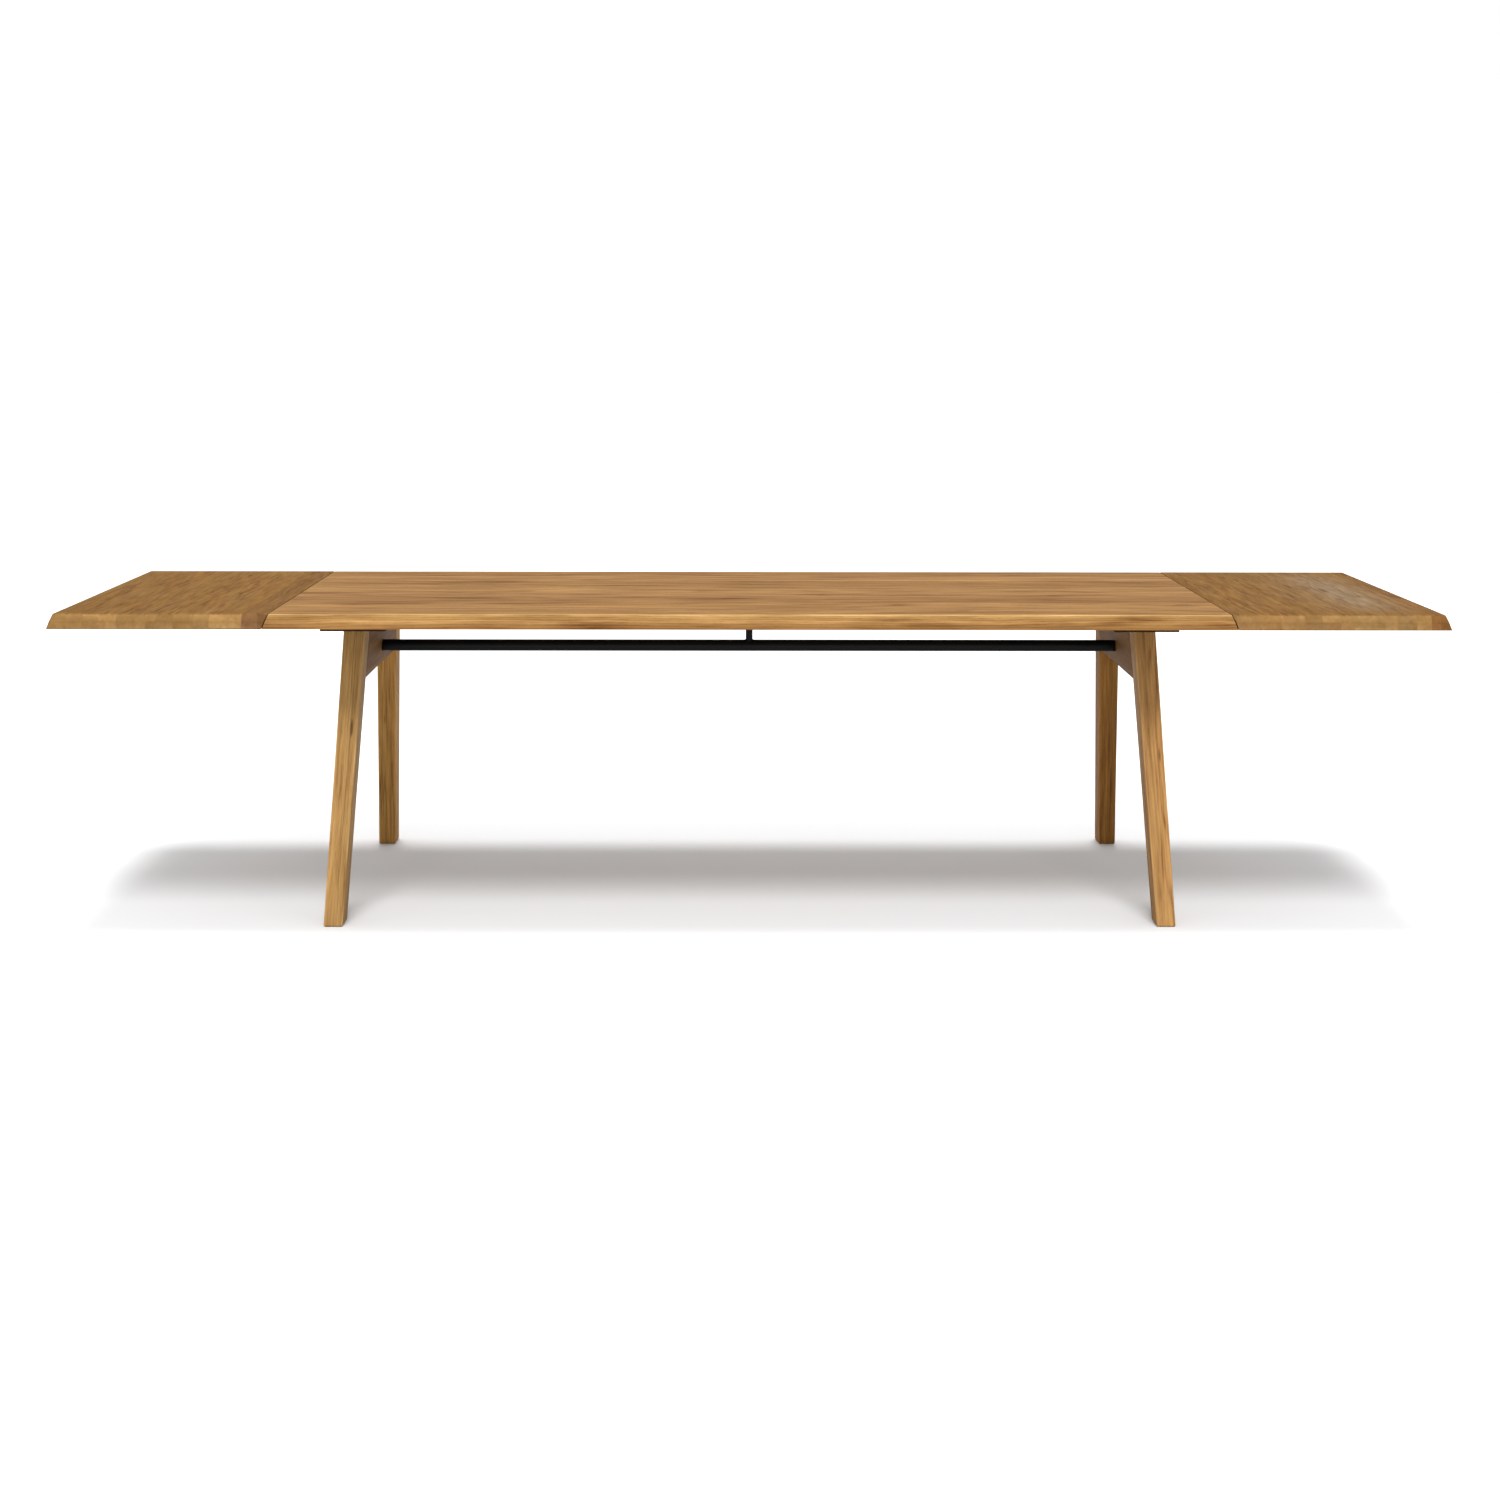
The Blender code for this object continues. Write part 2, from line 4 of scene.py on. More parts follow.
import bmesh
import bpy
import numpy as np
from bpy.props import FloatProperty, FloatVectorProperty, PointerProperty
from mathutils import Matrix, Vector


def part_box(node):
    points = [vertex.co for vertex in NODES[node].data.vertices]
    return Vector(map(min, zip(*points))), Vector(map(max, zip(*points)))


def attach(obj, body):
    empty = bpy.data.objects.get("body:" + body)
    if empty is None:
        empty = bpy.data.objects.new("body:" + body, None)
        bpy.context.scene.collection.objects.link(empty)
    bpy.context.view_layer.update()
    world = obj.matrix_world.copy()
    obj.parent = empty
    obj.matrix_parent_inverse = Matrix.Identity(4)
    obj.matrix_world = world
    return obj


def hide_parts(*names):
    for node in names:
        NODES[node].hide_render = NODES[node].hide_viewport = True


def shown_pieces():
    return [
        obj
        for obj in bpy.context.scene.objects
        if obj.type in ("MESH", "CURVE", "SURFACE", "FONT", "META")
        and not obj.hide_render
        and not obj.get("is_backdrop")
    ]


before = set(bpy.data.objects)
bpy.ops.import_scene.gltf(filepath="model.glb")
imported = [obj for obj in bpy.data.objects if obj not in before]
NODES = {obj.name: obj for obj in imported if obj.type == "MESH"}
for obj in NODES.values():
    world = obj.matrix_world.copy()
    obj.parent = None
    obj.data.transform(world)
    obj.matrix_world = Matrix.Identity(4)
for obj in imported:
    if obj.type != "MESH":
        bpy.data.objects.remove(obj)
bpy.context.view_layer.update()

bl_info = {
    "name": "Extendable dining table",
    "version": (1, 0, 0),
    "blender": (4, 5, 0),
    "location": "3D View > Sidebar > Dining table",
    "description": "Builds the boards, legs, stretcher, fastenings and studio of an extendable oak table",
    "category": "Object",
}

ENDS = (("left", -1.0), ("right", 1.0))
SIDES = (("front", -1.0), ("back", 1.0))


def node_box(name):
    """Lowest and highest corner of a frame part as two arrays."""
    low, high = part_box(name)
    return np.array(low), np.array(high)


TOP_LOW, TOP_HIGH = node_box("main_top")
LEAF_LOW, LEAF_HIGH = node_box("leaf_right")
BAR_LOW, BAR_HIGH = node_box("stretcher_bar")
POST_LOW, POST_HIGH = node_box("centre_post")
PLATE_LOW, PLATE_HIGH = node_box("post_plate")
BAR_RADIUS = (BAR_HIGH[2] - BAR_LOW[2]) / 2
BAR_AXIS = (BAR_HIGH[2] + BAR_LOW[2]) / 2

# lengthwise boards of the main top: front edge, back edge (shares of the width) and tone
TOP_BOARDS = (
    (0.000, 0.128, (1.03, 1.03, 1.02)),
    (0.128, 0.262, (1.05, 1.05, 1.04)),
    (0.262, 0.371, (0.91, 0.88, 0.87)),
    (0.371, 0.467, (0.99, 0.97, 1.00)),
    (0.467, 0.616, (1.06, 1.08, 1.09)),
    (0.616, 0.739, (0.93, 0.91, 0.89)),
    (0.739, 0.862, (1.07, 1.08, 1.12)),
    (0.862, 1.000, (0.96, 0.95, 0.93)),
)
# painted light on the outer faces of the front and back edges, strongest on their chamfers where the light
# falls; less of it on the knee, and painted shade towards the underside, which also turns it a little redder
EDGE_PAINTED_LIGHT = np.array((1.30, 1.45, 1.50))
EDGE_KNEE_PAINTED_SHADE = np.array((0.79, 0.70, 0.65))
EDGE_FOOT_PAINTED_SHADE = np.array((0.71, 0.58, 0.52))
# tone of each leg
LEG_TONES = {
    "leg_front_left": (0.99, 0.99, 0.98),
    "leg_front_right": (1.00, 0.93, 0.915),
    "leg_back_left": (1.18, 1.08, 0.88),
    "leg_back_right": (0.76, 0.61, 0.42),
}
# staves of a leaf from its outer end to the joint: width and tone
LEFT_STAVES = (
    (0.087, (0.93, 0.92, 0.90)),
    (0.150, (1.03, 1.03, 1.03)),
    (0.066, (0.95, 0.94, 0.94)),
    (0.049, (1.00, 0.98, 0.94)),
    (0.115, (1.10, 1.12, 1.14)),
    (0.047, (0.67, 0.59, 0.70)),
)
RIGHT_STAVES = (
    (0.049, (0.76, 0.62, 0.56)),
    (0.035, (1.03, 1.02, 1.00)),
    (0.075, (0.97, 0.99, 1.04)),
    (0.073, (0.99, 1.02, 1.05)),
    (0.117, (0.97, 0.96, 1.00)),
    (0.052, (0.95, 0.94, 0.98)),
    (0.059, (1.04, 1.00, 1.00)),
    (0.045, (0.90, 0.88, 0.94)),
)
# metres: how far a slab's ends slope and its long edges lean in below the knee, then edges and rims
END_SLOPE = 0.0140
EDGE_LEAN = 0.0032
BOARD_THICKNESS = 0.036
LATH_ARRIS = 0.0008
BAR_RIM = 0.0006
PLATE_RIM = 0.0008
# radii and heights of the fastenings
BOLT_SHANK = 0.0040
BOLT_HEAD = 0.0060
SCREW_SHANK = 0.0025
SCREW_HEAD = 0.0050
SCREW_HEAD_HEIGHT = 0.0030
PIN_EASE = 0.0009
FLUTE_DEPTH = 0.00022
# share of its own tone that a stave shows away from its two ends
UPPER_TONE = 0.35
# middle, length and width of the painted sheen on the right leaf: a painted reflection that lightens and
# greys its upper faces
PAINTED_SHEEN_X = 1.535
PAINTED_SHEEN_LENGTH = 0.080
PAINTED_SHEEN_WIDTH = 0.40
# oak: width of a ring, tones from dark to pale, and how far streaks, pores and arrises change them; the
# arrises are lightened both as worn and as a painted highlight
RING_WIDTH = 0.0052
FIGURE_PARTS = ("Tone", "Pores", "Heart", "Rings", "Fibre")
WOOD_TONES = (
    (0.00, (0.50, 0.41, 0.36)),
    (0.30, (0.78, 0.73, 0.68)),
    (0.55, (1.00, 1.00, 1.00)),
    (0.78, (1.16, 1.19, 1.20)),
    (1.00, (1.33, 1.40, 1.45)),
)
HEART_SHARE = (0.62, 0.50, 0.46)
PORE_SHARE = (0.45, 0.36, 0.30)
WEAR_AND_HIGHLIGHT_SHARE = (1.62, 1.72, 1.95)
KNOT_COLOUR = (0.045, 0.020, 0.009, 1.0)
# studio
FLOOR_REACH = 40.0
CAMERA_PLACE = (-0.0496, -6.1334, 1.4671)
CAMERA_TURNS = ((-0.483, "Z"), (90 - 7.221, "X"), (0.124, "Z"))


# ---------------------------------------------------------------- settings a user may change
class TopSettings(bpy.types.PropertyGroup):
    """Sizes and colours of the main top and the leaves."""

    top_colour: FloatVectorProperty(
        name="Top colour", description="Mean colour of the oiled oak of the main top",
        default=(0.203, 0.105, 0.036), size=3, min=0.0, max=1.0, subtype="COLOR")
    leaf_colour: FloatVectorProperty(
        name="Leaf colour", description="Mean colour of the oiled oak of the leaves",
        default=(0.146, 0.070, 0.016), size=3, min=0.0, max=1.0, subtype="COLOR")
    board_arris: FloatProperty(
        name="Board arris", description="How far the long arrises between two boards are eased",
        default=0.00035, min=0.0001, max=0.002, unit="LENGTH")
    end_arris: FloatProperty(
        name="End arris", description="Radius of the arrises round the ends of the boards",
        default=0.0009, min=0.0003, max=0.004, unit="LENGTH")
    leaf_arris: FloatProperty(
        name="Leaf arris", description="Radius of the arrises round the front and back ends of the staves",
        default=0.0018, min=0.0003, max=0.004, unit="LENGTH")
    # painted reflection: how much the upper faces of the right leaf are lightened and greyed, by colour
    painted_sheen: FloatVectorProperty(
        name="Painted_sheen", description="How much a light_painted patch lightens the oil on the right leaf, by colour",
        default=(1.20, 1.66, 4.00), size=3, min=0.5, max=5.0)
    edge_knee: FloatProperty(
        name="Edge knee", description="Height of the chamfer along the front and back edges",
        default=0.017, min=0.005, max=0.025, unit="LENGTH")
    edge_slope: FloatProperty(
        name="Edge slope", description="How far the chamfer along the edges runs in",
        default=0.011, min=0.003, max=0.020, unit="LENGTH")
    edge_wave: FloatProperty(
        name="Edge wave", description="How far the chamfer's lower line wanders up and down",
        default=0.0022, min=0.0, max=0.004, unit="LENGTH")
    corner_round: FloatProperty(
        name="Corner round", description="Radius of the corners of the main top in plan",
        default=0.0020, min=0.001, max=0.020, unit="LENGTH")


class FrameSettings(bpy.types.PropertyGroup):
    """Sizes and colours of the end frames and the sliding arms."""

    leg_colour: FloatVectorProperty(
        name="Leg colour", description="Mean colour of the oiled oak of the legs",
        default=(0.266, 0.151, 0.053), size=3, min=0.0, max=1.0, subtype="COLOR")
    inner_colour: FloatVectorProperty(
        name="Inner wood colour", description="Mean colour of the rails, boards and arms under the top",
        default=(0.132, 0.060, 0.016), size=3, min=0.0, max=1.0, subtype="COLOR")
    pin_colour: FloatVectorProperty(
        name="Beech colour", description="Mean colour of the beech dowels and pins",
        default=(0.480, 0.310, 0.165), size=3, min=0.0, max=1.0, subtype="COLOR")
    leg_arris: FloatProperty(
        name="Leg arris", description="How far the long arrises of a leg are eased",
        default=0.0042, min=0.001, max=0.010, unit="LENGTH")
    foot_ease: FloatProperty(
        name="Foot ease", description="Height of the eased edge round the foot of a leg",
        default=0.0035, min=0.001, max=0.010, unit="LENGTH")


class SteelSettings(bpy.types.PropertyGroup):
    """Sizes and colours of the steel parts."""

    black: FloatVectorProperty(
        name="Black coat", description="Colour of the black powder coat",
        default=(0.0030, 0.0030, 0.0032), size=3, min=0.0, max=1.0, subtype="COLOR")
    zinc: FloatVectorProperty(
        name="Zinc", description="Colour of the zinc plate on bolts and screws",
        default=(0.560, 0.570, 0.585), size=3, min=0.0, max=1.0, subtype="COLOR")
    weld: FloatProperty(
        name="Weld bead", description="Radius of the weld bead where the post meets the bar",
        default=0.0016, min=0.0005, max=0.003, unit="LENGTH")


class StudioSettings(bpy.types.PropertyGroup):
    """Light, floor and camera."""

    floor_colour: FloatVectorProperty(
        name="Floor colour", description="Colour of the plain floor",
        default=(0.648, 0.654, 0.662), size=3, min=0.0, max=1.0, subtype="COLOR")
    surround: FloatProperty(
        name="Surround", description="Brightness of the white surround",
        default=1.02, min=0.0, max=5.0)
    table_light: FloatProperty(
        name="Table light", description="Strength of the light from the upper front, on the table alone",
        default=3.6, min=0.0, max=20.0)
    floor_above: FloatProperty(
        name="Floor light above", description="Strength of the light from straight above, on the floor alone",
        default=2.35, min=0.0, max=20.0)
    floor_front: FloatProperty(
        name="Floor light front", description="Strength of the light from the front, on the floor alone",
        default=2.05, min=0.0, max=20.0)
    floor_low: FloatProperty(
        name="Floor light low", description="Strength of the low light from the front, on the floor alone",
        default=0.60, min=0.0, max=20.0)
    lens: FloatProperty(
        name="Lens", description="Focal length of the camera in millimetres",
        default=56.98, min=10.0, max=200.0)


# ---------------------------------------------------------------- surfaces
def eased_loop(corners, ease, steps=5):
    """Closed loop of points round a polygon whose corners are eased.

    Each corner is replaced by the parabola (1-t)^2 A + 2 t (1-t) P + t^2 B, where P is the corner
    and A and B lie on its two sides at the ease distance from it.  The second result is 1 in the
    middle of each parabola and 0 where it meets the sides.
    """
    corners = np.asarray(corners, float)
    met = []
    for shift in (1, -1):
        side = np.roll(corners, shift, axis=-2) - corners
        side /= np.linalg.norm(side, axis=-1, keepdims=True)
        met.append((corners + side * np.asarray(ease)[:, None])[..., None, :])
    start, stop = met
    t = np.linspace(0.0, 1.0, steps)[:, None]
    points = (1 - t) ** 2 * start + 2 * t * (1 - t) * corners[..., None, :] + t**2 * stop
    wear_and_highlight = np.broadcast_to(4 * t[:, 0] * (1 - t[:, 0]), points.shape[:-1])
    flat = points.shape[:-3] + (-1,)
    return points.reshape(flat + (2,)), wear_and_highlight.reshape(flat)


def run_of_stations(half, arris, corner, count):
    """Stations along a board from -half to +half, with closer ones where its ends are rounded.

    Returns the place of each station, how far the section is drawn in there, which follows a
    quarter circle arris * (1 - cos a), and a like quarter circle of the larger corner radius.
    """
    angle = np.linspace(0.0, math.pi / 2, 5)
    rim = half - arris * (1 - np.sin(angle))[::-1]
    wide = half - corner * (1 - np.sin(np.linspace(0.2, math.pi / 2, 6)))
    right = np.unique(np.round(np.concatenate((rim, wide)), 7))
    middle = np.linspace(-half + 2 * corner, half - 2 * corner, count)
    place = np.concatenate((-right[::-1], middle, right))
    depth = half - np.abs(place)
    inset, plan = [r - np.sqrt(np.clip(r**2 - np.clip(r - depth, 0, r) ** 2, 0, None))
                   for r in (arris, corner)]
    return place, inset, plan


def skin(grid, fold=None, ring=False):
    """Faces of a tube of points (stations, round, 3): quads between loops and a flat face at each end.

    When the ends are folded they get two flat faces that meet between the two points of the fold.
    A ring has no ends: its last loop is joined to its first.
    """
    stations, around = grid.shape[:2]
    index = np.arange(stations * around).reshape(stations, around)
    loops = np.vstack((index, index[:1])) if ring else index
    following = np.roll(loops, -1, axis=1)
    quads = np.stack((loops[:-1], loops[1:], following[1:], following[:-1]), axis=-1).reshape(-1, 4)
    if ring:
        return quads.tolist(), []
    cuts = [list(range(around))]
    if fold is not None:
        start, stop = fold
        cuts = [list(range(start, stop + 1)), list(range(stop, around)) + list(range(start + 1))]
    caps = [index[0][cut].tolist() for cut in cuts] + [index[-1][cut][::-1].tolist() for cut in cuts]
    return quads.tolist(), caps


def shell(grid, grain, tint, wear_and_highlight, fold=None, ring=False):
    """One closed tube of a piece with its wood direction, tone, arrises that are worn and carry a painted
    highlight, and end grain.

    The tone is one colour, or one for each point round the section, or one for each point.
    """
    sides, caps = skin(grid, fold, ring)
    tone = np.ones(grid.shape[:2] + (4,))
    tone[..., :3] = np.asarray(tint, float)
    wear_and_highlight = np.broadcast_to(wear_and_highlight, grid.shape[:2])
    return {
        "points": grid.reshape(-1, 3),
        "faces": sides + caps,
        "end": [0.0] * len(sides) + [1.0] * len(caps),
        "grain": grain.reshape(-1, 3),
        "tint": tone.reshape(-1, 4),
        "wear_and_highlight": wear_and_highlight.reshape(-1),
    }


def make_piece(name, shells, material, body, replaced, crease=38.0):
    """Joins shells into one mesh object at the origin, riding on its body in place of its frame part."""
    offset = 0
    faces = []
    for part in shells:
        faces += [[corner + offset for corner in face] for face in part["faces"]]
        offset += len(part["points"])
    mesh = bpy.data.meshes.new(name)
    mesh.from_pydata(np.concatenate([part["points"] for part in shells]).tolist(), [], faces)
    layers = (("grain", "FLOAT_VECTOR", "vector", "POINT"), ("tint", "FLOAT_COLOR", "color", "POINT"),
              ("wear_and_highlight", "FLOAT", "value", "POINT"), ("end", "FLOAT", "value", "FACE"))
    for key, kind, field, domain in layers:
        data = np.concatenate([np.asarray(part[key], np.float32).ravel() for part in shells])
        mesh.attributes.new(key, kind, domain).data.foreach_set(field, data)
    outward(mesh)
    mesh.polygons.foreach_set("use_smooth", np.ones(len(mesh.polygons), bool))
    mesh.set_sharp_from_angle(angle=math.radians(crease))
    mesh.materials.append(material)
    mesh.update()
    if mesh.validate(verbose=False):
        raise RuntimeError(name + " has broken faces")
    piece = bpy.data.objects.new(name, mesh)
    bpy.context.scene.collection.objects.link(piece)
    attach(piece, body)
    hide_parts(replaced)


def outward(mesh):
    """Turns every face of a closed mesh outwards."""
    work = bmesh.new()
    work.from_mesh(mesh)
    bmesh.ops.recalc_face_normals(work, faces=work.faces[:])
    work.to_mesh(mesh)
    work.free()


def wander(place, seed, scale):
    """Slow smooth wave between about -1 and 1: three sines whose lengths and phases come from the seed."""
    random = np.random.default_rng(seed)
    lengths = scale * random.uniform(0.5, 1.6, 3)
    phases = random.uniform(0, 2 * math.pi, 3)
    return np.sin(place[..., None] / lengths * 2 * math.pi + phases).sum(-1) / 3


def tree_place(random, thickness):
    """Where a board sat in its log: distance along it, across from the pith and below the face."""
    along = random.uniform(-40.0, 40.0)
    across = random.uniform(-0.045, 0.045)
    below = random.uniform(0.035, 0.140) * random.choice((-1.0, 1.0)) + thickness / 2
    return np.array((along, across, below))


def full_turn(count):
    """Evenly spaced angles round a circle."""
    return np.arange(count) * 2 * math.pi / count


def turned_grid(rows, sides, recess=None, flute=0.0):
    """Surface turned round an axis: each row is (radius, height).

    The last three rows may be a recess, whose outline is their radius times recess(angle).  Flutes
    take flute * (1 + cos 24 angle) / 2 off every radius.
    """
    rows = np.asarray(rows, float)
    angle = full_turn(sides)
    radius = rows[:, :1] - flute * (1 + np.cos(24 * angle)) / 2
    if recess is not None:
        radius[-3:] *= recess(angle)
    height = rows[:, 1:] * np.ones(sides)
    return np.stack((radius * np.cos(angle), radius * np.sin(angle), height), axis=-1)


def stand(grid, place, along):
    """Turns a surface whose axis is Z to lie along another axis and moves it to its place."""
    axis = np.asarray(along, float)
    axis /= np.linalg.norm(axis)
    helper = np.array((0.0, 1.0, 0.0)) if abs(axis[1]) < 0.9 else np.array((1.0, 0.0, 0.0))
    side = np.cross(helper, axis)
    side /= np.linalg.norm(side)
    turn = np.stack((side, np.cross(axis, side), axis), axis=0)
    return grid @ turn + np.asarray(place, float)


# ---------------------------------------------------------------- materials
def add(tree, kind, values=None, **settings):
    """Adds a shader node, sets its options, and sets or wires its inputs."""
    made = tree.nodes.new(kind)
    for key, value in settings.items():
        setattr(made, key, value)
    for key, value in (values or {}).items():
        if isinstance(value, bpy.types.NodeSocket):
            tree.links.new(value, made.inputs[key])
        else:
            made.inputs[key].default_value = value
    return made


def maths(tree, operation, first, second=0.0, clamp=False):
    """One step of arithmetic on two numbers."""
    return add(tree, "ShaderNodeMath", {0: first, 1: second}, operation=operation, use_clamp=clamp).outputs[0]


def vector_maths(tree, operation, first, second=(0.0, 0.0, 0.0), field=0):
    """One step of arithmetic on two vectors."""
    return add(tree, "ShaderNodeVectorMath", {0: first, 1: second}, operation=operation).outputs[field]


def graded(tree, value, slope, start=0.0):
    """Straight line through a value: value * slope + start."""
    return maths(tree, "ADD", maths(tree, "MULTIPLY", value, slope), start)


def blend(tree, amount, first, second, kind="MIX"):
    """Mixes two colours, or multiplies them, by an amount."""
    return add(tree, "ShaderNodeMix", {0: amount, 6: first, 7: second}, data_type="RGBA",
               blend_type=kind).outputs[2]


def tinted(colour, share=(1.0, 1.0, 1.0)):
    """Colour with full cover, each of its three levels scaled by a share."""
    return tuple(level * part for level, part in zip(colour, share)) + (1.0,)


def stretch(tree, vector, scale):
    """Scales a coordinate by a different amount along each axis."""
    return vector_maths(tree, "MULTIPLY", vector, scale)


def noise(tree, vector, scale, detail=2.0, rough=0.5, field="Fac"):
    """Noise on a stretched coordinate."""
    made = add(tree, "ShaderNodeTexNoise",
               {"Vector": stretch(tree, vector, scale), "Scale": 1.0, "Detail": detail, "Roughness": rough})
    return made.outputs[field]


def step_between(tree, value, low, high):
    """Smooth step from 0 to 1 while a value goes from one level to another."""
    return add(tree, "ShaderNodeMapRange", {0: value, 1: low, 2: high},
               interpolation_type="SMOOTHSTEP").outputs[0]


def oak_figure():
    """Node group that gives the figure of sawn oak at a point of the log.

    X runs along the fibre; Y and Z are measured from the pith, in metres.  Growth rings are the
    distance from the pith, bent by slow noise, in steps of a ring's width.
    """
    group = bpy.data.node_groups.new("oak_figure", "ShaderNodeTree")
    group.interface.new_socket("Vector", in_out="INPUT", socket_type="NodeSocketVector")
    for name in FIGURE_PARTS:
        group.interface.new_socket(name, in_out="OUTPUT", socket_type="NodeSocketFloat")
    inlet = group.nodes.new("NodeGroupInput").outputs[0]
    outlet = group.nodes.new("NodeGroupOutput")

    drift = noise(group, inlet, (1.3, 7.0, 7.0), 2.0, 0.5, "Color")
    bend = vector_maths(group, "SUBTRACT", drift, (0.5, 0.5, 0.5))
    bent = vector_maths(group, "ADD", stretch(group, bend, (0.0, 0.030, 0.030)), inlet)
    radius = vector_maths(group, "LENGTH", stretch(group, bent, (0.0, 1.0, 1.0)), field="Value")
    slow = maths(group, "MULTIPLY", noise(group, inlet, (0.8, 8.0, 8.0), 2.0), 3.0)
    count = maths(group, "ADD", maths(group, "MULTIPLY", radius, 1 / RING_WIDTH), slow)
    phase = maths(group, "FRACT", count)
    early, late = step_between(group, phase, 0.42, 0.0), step_between(group, phase, 0.80, 1.0)
    rings = maths(group, "MAXIMUM", early, late)

    streak = noise(group, bent, (4.6, 50.0, 50.0), 4.0, 0.62)
    broad = noise(group, bent, (2.2, 20.0, 20.0), 2.0)
    fibre = noise(group, inlet, (26.0, 950.0, 950.0), 2.0)
    dash = noise(group, inlet, (75.0, 1500.0, 1500.0), 1.0)
    pores = maths(group, "MULTIPLY", step_between(group, dash, 0.56, 0.70), graded(group, rings, 0.85, 0.15))
    line = noise(group, bent, (3.6, 85.0, 85.0), 3.0, 0.5)
    heart = maths(group, "MULTIPLY", step_between(group, line, 0.60, 0.74),
                  step_between(group, broad, 0.40, 0.62))
    ray = step_between(group, noise(group, inlet, (38.0, 170.0, 900.0), 1.0), 0.66, 0.78)

    tone = 0.56
    for value, middle, weight in ((streak, 0.5, 1.70), (broad, 0.5, 1.00), (fibre, 0.5, 0.40),
                                  (rings, 0.4, -0.22), (ray, 0.0, 0.12)):
        part = maths(group, "MULTIPLY", maths(group, "SUBTRACT", value, middle), weight)
        tone = maths(group, "ADD", tone, part)
    tone = maths(group, "ADD", tone, 0.0, clamp=True)
    for name, value in zip(FIGURE_PARTS, (tone, pores, heart, rings, fibre)):
        group.links.new(value, outlet.inputs[name])
    return group


def new_material(name):
    """Fresh material with its node tree and its main shader."""
    material = bpy.data.materials.new(name)
    material.use_nodes = True
    return material, material.node_tree, material.node_tree.nodes["Principled BSDF"]


def object_place(tree):
    """Coordinates of the object itself."""
    return tree.nodes.new("ShaderNodeTexCoord").outputs["Object"]


def wire_shader(tree, shader, colour, rough, strength, depth, height):
    """Wires a colour, a roughness and a fine relief to the main shader."""
    bump = add(tree, "ShaderNodeBump", {"Strength": strength, "Distance": depth, "Height": height})
    for source, inlet in ((colour, "Base Color"), (rough, "Roughness"), (bump.outputs[0], "Normal")):
        tree.links.new(source, shader.inputs[inlet])


